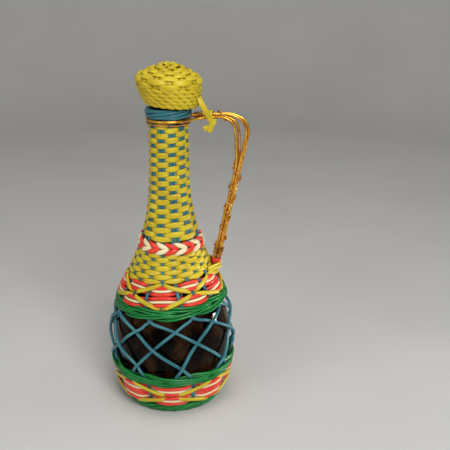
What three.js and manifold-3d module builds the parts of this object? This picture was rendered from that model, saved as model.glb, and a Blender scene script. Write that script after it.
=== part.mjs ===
// Covered bottle: a glass bottle dressed in woven plastic cord, with a wire handle and a woven stopper.
// Millimetres, +Z up, standing on Z = 0.
// Angles run round the bottle's axis from the front (-Y) towards the handle (+X).
import * as THREE from 'three';
import { mergeVertices } from 'three/addons/utils/BufferGeometryUtils.js';
import loadManifold from 'manifold-3d';

const wasm = await loadManifold();
wasm.setup();

const TURN = 2 * Math.PI;
const DEGREE = Math.PI / 180;

// Gap kept between pieces that touch
const GAP = 0.3;

// Glass: [height, outside radius] where its curve changes, from the heel up the belly to the neck
const GLASS_CURVE = [
  [6, 37.5], [9, 41], [14, 43.2], [34, 47.6], [55, 50.4], [69, 49.4], [97, 40.8],
  [114, 33], [134, 24.6], [159, 17.4], [184, 13.3], [209, 12.15], [251, 11.6],
];
const GLASS_BASE = 4.6;
const GLASS_WALL = 2.7;
const FLOOR_WALL = 3.7;
const GLASS_SIDES = 20;
const OUTSIDE_HEIGHTS = [6, 9, 14, 34, 55, 69, 83, 97, 114, 134, 147, 159, 171, 184, 196, 209, 251];
const INSIDE_HEIGHTS = [184, 159, 134, 114, 97, 83, 69, 55, 34, 14];
const PUNT_HEIGHT = 9;
const PUNT_RADIUS = 30;
const MOUTH_TOP = 257.4;
const LIP_BASE = 251;
const LIP_RADIUS = 13.2;
const LIP_EDGE = 0.7;
const BORE_RADIUS = 9.4;
const BORE_BASE = 214;

// The hand spacing of the cords: closer than even on the front of the neck, wider on the belly's front
const NECK_SPREAD = -0.05;
const BELLY_SPREAD = 0.25;
const SPREAD_TOP = 118;

// The cords drift towards the handle as they come down the shoulder
const TWIST = 5.5 * DEGREE;
const TWIST_TOP = 139;

// Upright cords: ten pairs, flat on the neck and shoulder and rounder where they cross the belly
const PAIRS = 10;
const CORDS = 2 * PAIRS;
const PAIR_STEP = TURN / PAIRS;
const CORD_STEP = TURN / CORDS;
const FIRST_PAIR = -57 * DEGREE;
const STAKE_WIDTH = 2.1;
const STAKE_THICKNESS = 1.2;
const STAKE_OUT = 2.9;
const STAKE_TOP = 247.6;
const PAIR_BASE = 149.6;
const SPLIT_TOP = 147.2;
const GATHER_TOP = 100;
const GATHER_BASE = 88;
const GATHERED_HALF = 6.2 * DEGREE;
const BASE_TOP = 41.8;
const EVEN_HEIGHT = 29;
const STAKE_BASE = 12.4;
const UPPER_STATIONS = [
  STAKE_TOP, 205, 184, 166, PAIR_BASE, SPLIT_TOP, TWIST_TOP, 129, SPREAD_TOP, 109, GATHER_TOP, GATHER_BASE,
];
const LOWER_STATIONS = [BASE_TOP, EVEN_HEIGHT, 20, STAKE_BASE];

// Open net on the belly: how far round each cord of a pair runs, and how it bows
const NET_TOP = 86.6;
const NET_BASE = 36.8;
const NET_END = 0.9;
const NET_RIGHT_TRAVEL = 70.6 * DEGREE;
const NET_LEFT_TRAVEL = 52.8 * DEGREE;
const NET_BOW = 0.65;
const NET_WIDTH = 2.6;
const NET_THICKNESS = 2.1;
const NET_UNDER = 1.8;
const NET_OVER = NET_UNDER + NET_THICKNESS + 0.8;
const NET_CROSSINGS = 4;

// The left-running cords lie unevenly round the belly, between these shares of the net's height
const NET_SHIFT = 7 * DEGREE;
const NET_SHIFT_PLACE = 33 * DEGREE;
const NET_SHIFT_FULL = [0.1, 0.5];
const NET_SHIFT_END = 0.98;

// The upper green ring and the rows near it stand higher on the handle's side
const LEAN = 2.5;
const LEAN_HEIGHT = 97;
const LEAN_REACH = 46;

// Weavers: flat cords that pass in front of and behind the upright cords
const WEAVER_THICKNESS = 1.1;
const WEAVE = 2;
const WEAVER_HEIGHT = 3.3;
const NECK_ROW = 3.9;
const NECK_WEAVE_BASE = 153.4;
const NECK_WEAVE_TOP = 242.6;
const SHOULDER_ROW = 3.3;
const SHOULDER_WEAVER_HEIGHT = 2.9;
const SHOULDER_WEAVE_BASE = 119.9;
const SHOULDER_WEAVE_TOP = 136;

// Braid of coral and cream: two rows of twined cords with opposite twists
const BRAID_HEIGHT = 142.7;
const BRAID_ROW = 2.4;
const BRAID_CORD_HEIGHT = 1.8;
const BRAID_RISE = 1.35;

// Striped bands: two groups of three cords that part and meet again, with two yellow cords zig-zagging over
const STRIPE_ROW = 2.5;
const STRIPE_HEIGHT = 2.1;
const SHOULDER_PART = 2.2;
const BASE_PART = 0.7;
const SHOULDER_BAND = 107;
const BASE_BAND = 22;
const BASE_BAND_PHASE = -4 * DEGREE;
const CROSS_HEIGHT = 2;
const CROSS_OUT = 3.3;
const CROSS_GAP = 0.55;

// Green rings
const UPPER_RING = 93.6;
const LOWER_RING = 36.8;
const RING_ROW = 4.5;
const RING_CORD_HEIGHT = 3.8;
const RING_THICKNESS = 0.9;
const RING_WEAVE = 2.3;

// Base ring: [radius, height] up its outside
const BASE_RING_OUTSIDE = [[40.8, 0], [42.8, 2.4], [44.4, 6], [45, 9.6]];
const BASE_RING_INSIDE = 31;
const HEEL_GAP = 0.7;

// Twisted cord border round the mouth
const BORDER_RADIUS = 16.6;
const BORDER_HEIGHT = 253.8;
const BORDER_CORD = 2.6;
const BORDER_TWIST = 1.72;
const BORDER_TURNS = 2;

// Wire collar round the neck's top, and the thin lashing below it
const COLLAR_RADIUS = 17;
const COLLAR_HEIGHT = 247.3;
const HANDLE_WIRE = 2.1;
const LASHING_WIRE = 1.1;

// Handle: two outer and two inner wires, [out from the axis, height] along each
const OUTER_WIRE = [
  [19.6, 250.4], [36, 250.6], [50, 250.5], [59.6, 246], [63.4, 238],
  [61.6, 225], [58.1, 209], [49.6, 170], [38.9, 120.5],
];
const INNER_WIRE = [
  [18.6, 248], [36, 248.2], [46.5, 247.9], [52.8, 243.8], [55.2, 236],
  [55.9, 224], [55.5, 209], [47, 170], [36.3, 122],
];
const WIRE_STEPS = 16;
const WIRE_SIDE = 1.2;

// Thin wire wound round the handle: [share of the handle's length, turns made up to there]
const BINDING_TURNS = [[0.012, 0], [0.05, 3], [0.16, 5], [0.47, 5], [0.9, 9]];
const BINDING_RADIUS = 4;
const BINDING_CORNER_RADIUS = 2.4;
const BINDING_STEPS_PER_TURN = 8;
const BINDING_CORNER_STEPS = 10;
const BINDING_BLEND = 0.05;

// Ties on the handle; each end of the knot reaches [down from the handle, along it]
const KNOT_SHARE = 0.075;
const TIE_RADIUS = 5.7;
const TIE_WIDTH = 3.2;
const TIE_THICKNESS = 1.3;
const KNOT_ENDS = [[8, -4], [4, 4]];
const FOOT_TIE_SHARE = 0.965;
const FOOT_TIE_WIDTH = 3.4;
const FOOT_TIE_RADIUS = 3.9;

// Cord of the shoulder weave that goes out round the handle's foot: [x, y] from its end to the middle
const FOOT_WRAP = [[33, -18.8], [37, -10], [40.4, -4.8], [41.8, -1.6]];
const FOOT_WRAP_HEIGHT = 122.3;
const FOOT_WRAP_CENTRE = 14;

// Woven stopper: [radius, height above its lower rim] at the edge of each row, up the side and over the top
const STOPPER_BASE = 258.4;
const STOPPER_ROWS = [
  [20.2, 0], [22.2, 4.4], [23.7, 8.8], [24.8, 13.2], [25.4, 17.6], [25.2, 21.6],
  [21, 25.1], [16, 27.6], [10.6, 29.9], [5.4, 31.7],
];
const STOPPER_TOP = 32.4;

// Its lower part is pushed towards the handle, and hangs lower on that side
const STOPPER_PUSH = 2.8;
const STOPPER_HANG = 1.5;
const STOPPER_EVEN_HEIGHT = 17.6;

// The cord of a row stands this far out in front of a stake, and behind one
const STOPPER_FRONT = 1.1;
const STOPPER_BEHIND = -0.5;

// Inside of the cover, its lean towards the handle, and the stakes round it
const STOPPER_LINING = [[15, 0], [20.8, 13.2], [20, 20.8], [11.2, 27.6]];
const STOPPER_LINING_TOP = 29.1;
const STOPPER_TILT = 3 * DEGREE;
const STOPPER_SIDES = 20;
const CORK_SIDES = 16;

// The cork inside it: a knob, and a plug that goes down into the neck
const KNOB = [[13.8, 0.6], [19.4, 13.2], [18.6, 19.6], [10.6, 26.4], [0, 28]];
const PLUG_RADIUS = 9;
const PLUG_LENGTH = 12;
const PLUG_EDGE = 0.8;

// Tether cord: its way down from the stopper's right front, [x, y, height above the stopper's rim]
const TETHER_WAY = [[26, -9.6, 6.6], [28.4, -10.2, 2.6], [31, -9.6, -2.8]];
const TETHER_WIDTH = 3;
const TETHER_THICKNESS = 1.4;
const TETHER_STEPS = 8;

const BELLY_REACH = 56;
const HANDLE_REACH = 64.45;

const COLOURS = {
  glass: [0x241208, 0.08, 0],
  teal: [0x3c7d93, 0.4, 0],
  yellow: [0xcdb428, 0.4, 0],
  coral: [0xeb4132, 0.4, 0],
  cream: [0xebd7a5, 0.4, 0],
  green: [0x198237, 0.4, 0],
  gold: [0xdc9632, 0.25, 1],
  cork: [0xa87a4a, 0.8, 0],
};
const materials = {};
for (const [name, [color, roughness, metalness]] of Object.entries(COLOURS)) {
  materials[name] = new THREE.MeshStandardMaterial({ color, roughness, metalness });
}

// The bottle's axis stands off the middle by as much as the handle reaches past the belly.
const bottle = new THREE.Group();
bottle.position.x = (BELLY_REACH - HANDLE_REACH) / 2;

function add(name, geometry, material, parent = bottle) {
  const mesh = new THREE.Mesh(geometry, materials[material]);
  mesh.name = name;
  parent.add(mesh);
  return mesh;
}

// How far a value has come from low to high, from 0 to 1
function ramp(low, high, value) {
  return THREE.MathUtils.clamp((value - low) / (high - low), 0, 1);
}

// Outside radius of the glass at a height: a smooth curve through the points of GLASS_CURVE
function glassRadius(height) {
  const last = GLASS_CURVE.length - 1;
  let i = 0;
  while (i < last - 1 && height > GLASS_CURVE[i + 1][0]) {
    i += 1;
  }
  const [lowHeight, lowRadius] = GLASS_CURVE[i];
  const [highHeight, highRadius] = GLASS_CURVE[i + 1];
  const span = highHeight - lowHeight;
  const share = ramp(lowHeight, highHeight, height);
  const slopeAt = (k) => {
    const [aHeight, aRadius] = GLASS_CURVE[Math.max(k - 1, 0)];
    const [bHeight, bRadius] = GLASS_CURVE[Math.min(k + 1, last)];
    return (bRadius - aRadius) / (bHeight - aHeight);
  };
  const square = share * share;
  const cube = square * share;
  return (
    (2 * cube - 3 * square + 1) * lowRadius
    + (cube - 2 * square + share) * span * slopeAt(i)
    + (3 * square - 2 * cube) * highRadius
    + (cube - square) * span * slopeAt(i + 1)
  );
}

// The glass's lean along its height, and the height reached by going a distance along its surface
function glassSlope(height) {
  return glassRadius(height + 0.5) - glassRadius(height - 0.5);
}

function climb(height, distance) {
  return height + distance / Math.hypot(1, glassSlope(height));
}

// A station of a cord that lies on the bottle: a point off the glass, and the way out from it
function station(angle, height, out, width, thickness) {
  const share = (height - LEAN_HEIGHT) / LEAN_REACH;
  const lean = LEAN * Math.max(0, 1 - share * share) ** 2;
  const level = height + lean * Math.sin(angle);
  const slope = glassSlope(level);
  const length = Math.hypot(1, slope);
  const outward = new THREE.Vector3(Math.sin(angle) / length, -Math.cos(angle) / length, -slope / length);
  const radius = glassRadius(level);
  const centre = new THREE.Vector3(radius * Math.sin(angle), -radius * Math.cos(angle), level);
  centre.addScaledVector(outward, out);
  return { centre, outward, halfWidth: width / 2, halfThickness: thickness / 2 };
}

// The hand spacing at a height, for an even angle round the bottle
function handAngle(even, height) {
  const share = ramp(NET_TOP, SPREAD_TOP, height);
  const spread = THREE.MathUtils.lerp(BELLY_SPREAD, NECK_SPREAD, share);
  const drifted = even + TWIST * ramp(TWIST_TOP, GATHER_TOP, height);
  return drifted + spread * Math.sin(drifted);
}

// Corners of a cord's section, in half widths across it and half thicknesses out
const FLAT_SECTION = [[-1, -1], [1, -1], [1, 1], [-1, 1]];

function roundSection(sides) {
  return Array.from({ length: sides }, (_, k) => [Math.cos(k * TURN / sides), Math.sin(k * TURN / sides)]);
}

// Sweeps a section along stations, as a closed ring or with capped ends
function sweep(stations, closed, section = FLAT_SECTION) {
  const count = stations.length;
  const sides = section.length;
  const positions = [];
  for (let i = 0; i < count; i += 1) {
    const before = stations[closed ? (i + count - 1) % count : Math.max(i - 1, 0)].centre;
    const after = stations[closed ? (i + 1) % count : Math.min(i + 1, count - 1)].centre;
    const { centre, outward, halfWidth, halfThickness } = stations[i];
    const along = after.clone().sub(before).normalize();
    const across = new THREE.Vector3().crossVectors(outward, along).normalize();
    for (const [a, b] of section) {
      const corner = centre.clone();
      corner.addScaledVector(across, a * halfWidth);
      corner.addScaledVector(outward, b * halfThickness);
      positions.push(corner.x, corner.y, corner.z);
    }
  }
  const faces = [];
  const rings = closed ? count : count - 1;
  for (let i = 0; i < rings; i += 1) {
    const here = i * sides;
    const next = ((i + 1) % count) * sides;
    for (let k = 0; k < sides; k += 1) {
      const m = (k + 1) % sides;
      faces.push(here + k, next + k, next + m);
      faces.push(here + k, next + m, here + m);
    }
  }
  if (!closed) {
    const end = (count - 1) * sides;
    for (let k = 1; k < sides - 1; k += 1) {
      faces.push(0, k, k + 1);
      faces.push(end, end + k + 1, end + k);
    }
  }
  return facingOut(positions, faces);
}

// A geometry whose faces all point out, whichever way its stations ran
function facingOut(positions, faces) {
  let volume = 0;
  const corner = (k) => new THREE.Vector3().fromArray(positions, 3 * k);
  for (let i = 0; i < faces.length; i += 3) {
    const [a, b, c] = [corner(faces[i]), corner(faces[i + 1]), corner(faces[i + 2])];
    volume += a.dot(b.cross(c));
  }
  const geometry = new THREE.BufferGeometry();
  geometry.setAttribute('position', new THREE.Float32BufferAttribute(positions, 3));
  geometry.setIndex(volume > 0 ? faces : faces.slice().reverse());
  return geometry;
}

function toSolid(geometry) {
  const bare = geometry.clone();
  bare.deleteAttribute('normal');
  bare.deleteAttribute('uv');
  const merged = mergeVertices(bare, 1e-4);
  return new wasm.Manifold(new wasm.Mesh({
    numProp: 3,
    vertProperties: new Float32Array(merged.attributes.position.array),
    triVerts: new Uint32Array(merged.index.array),
  }));
}

function join(...geometries) {
  const { vertProperties, triVerts } = geometries.map(toSolid).reduce((a, b) => a.add(b)).getMesh();
  return facingOut(Array.from(vertProperties), Array.from(triVerts));
}

// Turns an outline of [radius, height] about the bottle's axis
function turned(outline, sides) {
  const points = outline.map(([radius, height]) => new THREE.Vector2(radius, height));
  return new THREE.LatheGeometry(points, sides).rotateX(Math.PI / 2);
}

// The glass: outside from the punt to the lip, then down the bore and the inside
function glassBottle() {
  const punt = (floor) => [
    [0, floor + PUNT_HEIGHT], [PUNT_RADIUS * 0.6, floor + PUNT_HEIGHT * 0.55], [PUNT_RADIUS, floor],
  ];
  const outside = OUTSIDE_HEIGHTS.map((height) => [glassRadius(height), height]);
  const inside = INSIDE_HEIGHTS.map((height) => [glassRadius(height) - GLASS_WALL, height]);
  const lip = [
    [LIP_RADIUS, LIP_BASE + LIP_EDGE], [LIP_RADIUS, MOUTH_TOP - LIP_EDGE], [LIP_RADIUS - LIP_EDGE, MOUTH_TOP],
    [BORE_RADIUS + LIP_EDGE, MOUTH_TOP], [BORE_RADIUS, MOUTH_TOP - LIP_EDGE], [BORE_RADIUS, BORE_BASE],
  ];
  const inner = punt(GLASS_BASE + FLOOR_WALL).reverse();
  const outline = [...punt(GLASS_BASE), ...outside, ...lip, ...inside, ...inner];
  add('glass_bottle', turned(outline, GLASS_SIDES), 'glass');
}

// Half the even angle between the two legs of a cord, at a height above the net
function pairHalf(height) {
  if (height >= PAIR_BASE) {
    return (STAKE_WIDTH + GAP) / 2 / (glassRadius(height) + STAKE_OUT);
  }
  return THREE.MathUtils.lerp(GATHERED_HALF, CORD_STEP / 2, ramp(GATHER_BASE, GATHER_TOP, height));
}

// One leg of an upright cord, from the mouth down the neck and shoulder, across the net and down the base.
// Side -1 starts on the left of its pair and crosses to the right; side 1 the other way.
function uprightLeg(even, side) {
  const stations = [];
  for (const height of UPPER_STATIONS) {
    const angle = handAngle(even + side * pairHalf(height), height);
    stations.push(station(angle, height, STAKE_OUT, STAKE_WIDTH, STAKE_THICKNESS));
  }
  let before = 0;
  for (let crossing = 0; crossing < NET_CROSSINGS; crossing += 1) {
    const share = crossingShare(side < 0 ? even + crossing * PAIR_STEP : even, crossing);
    if (crossing > 0) {
      stations.push(netStation(even, side, (before + share) / 2, (NET_UNDER + NET_OVER) / 2));
    }
    const onTop = crossing % 2 === (side < 0 ? 0 : 1);
    stations.push(netStation(even, side, share, onTop ? NET_OVER : NET_UNDER));
    before = share;
  }
  for (const height of LOWER_STATIONS) {
    const angle = handAngle(even + baseTravel(even, side, height), height);
    stations.push(station(angle, height, STAKE_OUT, STAKE_WIDTH, STAKE_THICKNESS));
  }
  return stations;
}

function netStation(even, side, share, out) {
  const height = THREE.MathUtils.lerp(NET_TOP, NET_BASE, share);
  const angle = handAngle(even + netTravel(even, side, share), height);
  return station(angle, height, out, NET_WIDTH, NET_THICKNESS);
}

// How far a left-running cord lies from its even place, at a share of the net's height
function netShift(even, share) {
  const [start, end] = NET_SHIFT_FULL;
  const fade = ramp(0, start, share) * ramp(NET_SHIFT_END, end, share);
  return NET_SHIFT * Math.cos(2 * (even + NET_SHIFT_PLACE)) * fade;
}

// How far round a leg has run at a share of the net's height
function netTravel(even, side, share) {
  const bowed = share ** NET_BOW;
  return side < 0 ? NET_RIGHT_TRAVEL * bowed : netShift(even, share) - NET_LEFT_TRAVEL * bowed;
}

// The share of the net's height where a left-running cord meets the right-running one of an earlier pair
function crossingShare(leftEven, pairsBefore) {
  const shareFor = (shift) => (
    ((pairsBefore * PAIR_STEP + shift) / (NET_RIGHT_TRAVEL + NET_LEFT_TRAVEL)) ** (1 / NET_BOW)
  );
  return shareFor(netShift(leftEven, shareFor(0)));
}

// Below the net the legs drift to an even spacing.
function baseTravel(even, side, height) {
  const evenEnd = BASE_BAND_PHASE - FIRST_PAIR + (side < 0 ? CORD_STEP : -3 * PAIR_STEP);
  return THREE.MathUtils.lerp(evenEnd, netTravel(even, side, NET_END), ramp(EVEN_HEIGHT, BASE_TOP, height));
}

// Each upright cord goes up the bottle, turns over at the mouth and comes down beside itself.
function uprightCords() {
  for (let pair = 0; pair < PAIRS; pair += 1) {
    const even = FIRST_PAIR + pair * PAIR_STEP;
    const half = pairHalf(STAKE_TOP);
    const bend = [];
    for (const turn of [-45, 0, 45]) {
      const angle = handAngle(even + half * Math.sin(turn * DEGREE), STAKE_TOP);
      const height = STAKE_TOP + (STAKE_WIDTH + GAP) / 2 * Math.cos(turn * DEGREE);
      bend.push(station(angle, height, STAKE_OUT, STAKE_WIDTH, STAKE_THICKNESS));
    }
    const stations = [...uprightLeg(even, -1).reverse(), ...bend, ...uprightLeg(even, 1)];
    add(`stake_pair_${String(pair + 1).padStart(2, '0')}`, sweep(stations, false), 'teal');
  }
}

// Two neck weavers chase each other up the neck, each in front of every other pair of upright cords.
function neckWeavers() {
  const rise = 2 * NECK_ROW / PAIRS;
  const last = (NECK_WEAVE_TOP - NECK_WEAVE_BASE) / rise;
  for (const [name, start, first] of [['neck_weaver_1', 1, -2], ['neck_weaver_2', 1 + PAIRS / 2, -4]]) {
    const stations = [];
    for (let step = first; step <= last; step += 1) {
      for (const part of [-0.25, 0.25]) {
        const place = start + step + part;
        const height = NECK_WEAVE_BASE + rise * (step + part + 0.25);
        const out = STAKE_OUT + (step % 2 === 0 ? -WEAVE : WEAVE);
        const angle = handAngle(FIRST_PAIR + place * PAIR_STEP, height);
        stations.push(station(angle, height, out, WEAVER_HEIGHT, WEAVER_THICKNESS));
      }
    }
    add(name, sweep(stations, false), 'yellow');
  }
}

// Two shoulder weavers do the same round the single cords.
function shoulderWeavers() {
  const rise = 2 * SHOULDER_ROW / CORDS;
  const last = (SHOULDER_WEAVE_TOP - SHOULDER_WEAVE_BASE) / rise;
  for (const [name, start, ahead, first] of [
    ['shoulder_weaver_1', 0, 0, -4], ['shoulder_weaver_2', 1 + CORDS / 2, 1, -8],
  ]) {
    const stations = [];
    for (let step = first; step <= last - ahead; step += 1) {
      const height = SHOULDER_WEAVE_BASE + rise * (step + ahead);
      const out = STAKE_OUT + (step % 2 === 0 ? -WEAVE : WEAVE);
      const angle = handAngle(FIRST_PAIR + (start + step - 0.5) * CORD_STEP, height);
      stations.push(station(angle, height, out, SHOULDER_WEAVER_HEIGHT, WEAVER_THICKNESS));
    }
    add(name, sweep(stations, false), 'yellow');
  }
}

// A braid cord is in front of every other upright cord, and rises or falls as it goes behind the next.
function braidCord(row, twist, phase) {
  const stations = [];
  for (let step = 0; step < 2 * CORDS; step += 1) {
    const turn = (step / 2 + phase) * Math.PI;
    const height = climb(BRAID_HEIGHT, row + twist * BRAID_RISE * Math.sin(turn));
    const out = STAKE_OUT + WEAVE * Math.cos(turn);
    const angle = handAngle(FIRST_PAIR + (step / 2 - 0.5) * CORD_STEP, height);
    stations.push(station(angle, height, out, BRAID_CORD_HEIGHT, WEAVER_THICKNESS));
  }
  return sweep(stations, true);
}

function braid() {
  add('braid_coral_upper', braidCord(BRAID_ROW, -1, 0), 'coral');
  add('braid_cream_upper', braidCord(BRAID_ROW, -1, 1), 'cream');
  add('braid_coral_lower', braidCord(-BRAID_ROW, 1, 0), 'coral');
  add('braid_cream_lower', braidCord(-BRAID_ROW, 1, 1), 'cream');
}

// How far the groups of a band have parted at a cord: most at every fourth, not at all half way between
function partedShare(cord) {
  return (1 + Math.cos(cord * Math.PI / 2)) / 2;
}

// A striped band: cordAngle gives the even angle of each upright cord, with a parted place at cord 0.
function stripedBand(name, middle, part, cordAngle) {
  const colours = ['coral', 'cream', 'coral'];
  for (const [group, side] of [['upper', 1], ['lower', -1]]) {
    colours.forEach((colour, stripe) => {
      const stations = [];
      for (let cord = 0; cord < CORDS; cord += 1) {
        const distance = (stripe + 0.5) * STRIPE_ROW + part * partedShare(cord);
        const height = climb(middle, side * distance);
        const out = STAKE_OUT + (cord % 2 === 0 ? WEAVE : -WEAVE);
        const angle = handAngle(cordAngle(cord), height);
        stations.push(station(angle, height, out, STRIPE_HEIGHT, WEAVER_THICKNESS));
      }
      add(`${name}_${group}_${stripe + 1}`, sweep(stations, true), colour);
    });
    add(`${name}_cross_${group}`, crossCord(middle, side, cordAngle), 'yellow');
  }
}

// A yellow cord runs over the stripes from where they part to their outer edge, and there behind a cord.
function crossCord(middle, side, cordAngle) {
  const inner = CROSS_HEIGHT / 2 + GAP / 2;
  const outer = 3 * STRIPE_ROW + CROSS_GAP + CROSS_HEIGHT / 2;
  const stations = [];
  for (let period = 0; period < CORDS / 4; period += 1) {
    for (const [part, share, out] of [
      [0, 0, CROSS_OUT], [1, 0.5, CROSS_OUT], [1.6, 1, CROSS_OUT], [1.85, 1, -WEAVE],
      [2.15, 1, -WEAVE], [2.4, 1, CROSS_OUT], [3, 0.5, CROSS_OUT],
    ]) {
      const cord = 4 * period + part;
      const height = climb(middle, side * THREE.MathUtils.lerp(inner, outer, share));
      const angle = handAngle(cordAngle(cord), height);
      stations.push(station(angle, height, STAKE_OUT + out, CROSS_HEIGHT, WEAVER_THICKNESS));
    }
  }
  return sweep(stations, true);
}

// A station of a green ring cord, in front of the upright cords (wave 1), behind them (-1) or between (0)
function ringStation(even, height, wave) {
  const out = STAKE_OUT + wave * RING_WEAVE;
  return station(handAngle(even, height), height, out, RING_CORD_HEIGHT, RING_THICKNESS);
}

// A green ring cord goes in front of one leg of each gathered pair and behind the other.
function upperRing() {
  for (const [name, side] of [['upper_ring_1', 1], ['upper_ring_2', -1]]) {
    const height = climb(UPPER_RING, side * RING_ROW / 2);
    const half = pairHalf(height);
    const stations = [];
    for (let pair = 0; pair < PAIRS; pair += 1) {
      for (const [turn, wave] of [[-half, side], [half, -side], [PAIR_STEP / 2, 0]]) {
        stations.push(ringStation(FIRST_PAIR + pair * PAIR_STEP + turn, height, wave));
      }
    }
    add(name, sweep(stations, true), 'green');
  }
}

// At the foot of the net it takes the left-running cord of one pair and the right-running one of another.
function lowerRing() {
  for (const [name, side] of [['lower_ring_1', 1], ['lower_ring_2', -1]]) {
    const height = climb(LOWER_RING, side * RING_ROW / 2);
    const stations = [];
    for (let pair = 0; pair < PAIRS; pair += 1) {
      const even = FIRST_PAIR + pair * PAIR_STEP;
      const leftEven = even + 3 * PAIR_STEP;
      const left = leftEven + baseTravel(leftEven, 1, height);
      const right = even + baseTravel(even, -1, height);
      for (const [place, wave] of [[left, side], [right, -side], [(left + right + PAIR_STEP) / 2, 0]]) {
        stations.push(ringStation(place, height, wave));
      }
    }
    add(name, sweep(stations, true), 'green');
  }
}

// The base ring carries the glass's heel and stands on the floor.
function baseRing() {
  const top = BASE_RING_OUTSIDE.at(-1)[1];
  const [[heelHeight, heelRadius], [sideHeight, sideRadius]] = GLASS_CURVE;
  const inside = [
    [sideRadius + HEEL_GAP + GAP, top], [sideRadius + HEEL_GAP, sideHeight],
    [heelRadius + HEEL_GAP, heelHeight], [heelRadius - HEEL_GAP, GLASS_BASE - GAP],
    [BASE_RING_INSIDE, GLASS_BASE - GAP], [BASE_RING_INSIDE, 0],
  ];
  const outline = [[BASE_RING_INSIDE, 0], ...BASE_RING_OUTSIDE, ...inside];
  add('base_ring', turned(outline, GLASS_SIDES), 'green');
}

// Three cords twisted together lie round the mouth.
function mouthBorder() {
  const steps = 20;
  for (let cord = 0; cord < 3; cord += 1) {
    const stations = [];
    for (let step = 0; step < steps; step += 1) {
      const angle = step * TURN / steps;
      const twist = BORDER_TURNS * angle + cord * TURN / 3;
      const radius = BORDER_RADIUS + BORDER_TWIST * Math.cos(twist);
      const height = BORDER_HEIGHT + BORDER_TWIST * Math.sin(twist);
      const outward = new THREE.Vector3(Math.sin(angle), -Math.cos(angle), 0);
      const centre = outward.clone().multiplyScalar(radius);
      centre.z = height;
      stations.push({ centre, outward, halfWidth: BORDER_CORD / 2, halfThickness: BORDER_CORD / 2 });
    }
    add(`mouth_border_${cord + 1}`, sweep(stations, true, roundSection(5)), 'teal');
  }
}

// A closed ring of round wire about the bottle's axis
function wireRing(radius, height, wire, steps, sides) {
  const stations = [];
  for (let step = 0; step < steps; step += 1) {
    const angle = step * TURN / steps;
    const outward = new THREE.Vector3(Math.sin(angle), -Math.cos(angle), 0);
    const centre = outward.clone().multiplyScalar(radius);
    centre.z = height;
    stations.push({ centre, outward, halfWidth: wire / 2, halfThickness: wire / 2 });
  }
  return sweep(stations, true, roundSection(sides));
}

function collar() {
  add('collar_wire', wireRing(COLLAR_RADIUS, COLLAR_HEIGHT, HANDLE_WIRE, 20, 6), 'gold');
  const lashingHeight = COLLAR_HEIGHT - HANDLE_WIRE / 2 - GAP - LASHING_WIRE / 2;
  add('collar_lashing', wireRing(COLLAR_RADIUS, lashingHeight, LASHING_WIRE, 20, 4), 'gold');
}

// The two guide lines of the handle, and a frame at any share of their length
const guides = [OUTER_WIRE, INNER_WIRE].map((points) => new THREE.CatmullRomCurve3(
  points.map(([out, height]) => new THREE.Vector3(out, 0, height)), false, 'centripetal',
));

function handleFrame(share) {
  const [outer, inner] = guides.map((guide) => guide.getPointAt(share));
  const along = guides[1].getTangentAt(share);
  const sideways = new THREE.Vector3(0, 1, 0);
  const inward = new THREE.Vector3().crossVectors(sideways, along).normalize();
  return { outer, inner, middle: outer.clone().lerp(inner, 0.5), along, sideways, inward };
}

function handleWires() {
  for (const [name, guide, side] of [
    ['handle_wire_outer_front', 0, -1], ['handle_wire_outer_back', 0, 1],
    ['handle_wire_inner_front', 1, -1], ['handle_wire_inner_back', 1, 1],
  ]) {
    const stations = [];
    for (let step = 0; step <= WIRE_STEPS; step += 1) {
      const centre = guides[guide].getPointAt(step / WIRE_STEPS);
      centre.y = side * WIRE_SIDE;
      const outward = new THREE.Vector3(0, side, 0);
      stations.push({ centre, outward, halfWidth: HANDLE_WIRE / 2, halfThickness: HANDLE_WIRE / 2 });
    }
    add(name, sweep(stations, false, roundSection(6)), 'gold');
  }
}

// The turns that the binding has made at a share of the handle's length
function bindingTurns(share) {
  let i = 0;
  while (i < BINDING_TURNS.length - 2 && share > BINDING_TURNS[i + 1][0]) {
    i += 1;
  }
  const [low, lowTurns] = BINDING_TURNS[i];
  const [high, highTurns] = BINDING_TURNS[i + 1];
  return lowTurns + (highTurns - lowTurns) * (share - low) / (high - low);
}

// The thin binding wire: turns round all four wires, and between them a run along the inside of the corner
function handleBinding() {
  const shares = [];
  for (let i = 0; i < BINDING_TURNS.length - 1; i += 1) {
    const [low, lowTurns] = BINDING_TURNS[i];
    const [high, highTurns] = BINDING_TURNS[i + 1];
    const steps = (highTurns - lowTurns) * BINDING_STEPS_PER_TURN || BINDING_CORNER_STEPS;
    for (let step = 0; step < steps; step += 1) {
      shares.push(low + (high - low) * step / steps);
    }
  }
  shares.push(BINDING_TURNS.at(-1)[0]);
  const [, , [cornerStart], [cornerEnd]] = BINDING_TURNS;
  const stations = shares.map((share) => {
    const { inner, middle, inward, sideways } = handleFrame(share);
    const entering = ramp(cornerStart, cornerStart + BINDING_BLEND, share);
    const leaving = ramp(cornerEnd, cornerEnd - BINDING_BLEND, share);
    const corner = entering * leaving;
    const turn = bindingTurns(share) * TURN;
    const outward = inward.clone().multiplyScalar(Math.cos(turn)).addScaledVector(sideways, Math.sin(turn));
    const centre = middle.lerp(inner, corner);
    centre.addScaledVector(outward, THREE.MathUtils.lerp(BINDING_RADIUS, BINDING_CORNER_RADIUS, corner));
    return { centre, outward, halfWidth: LASHING_WIRE / 2, halfThickness: LASHING_WIRE / 2 };
  });
  console.log(`handle_binding least gap to itself: ${leastGap(stations).toFixed(2)} mm`);
  add('handle_binding', sweep(stations, false, roundSection(5)), 'gold');
}

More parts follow.
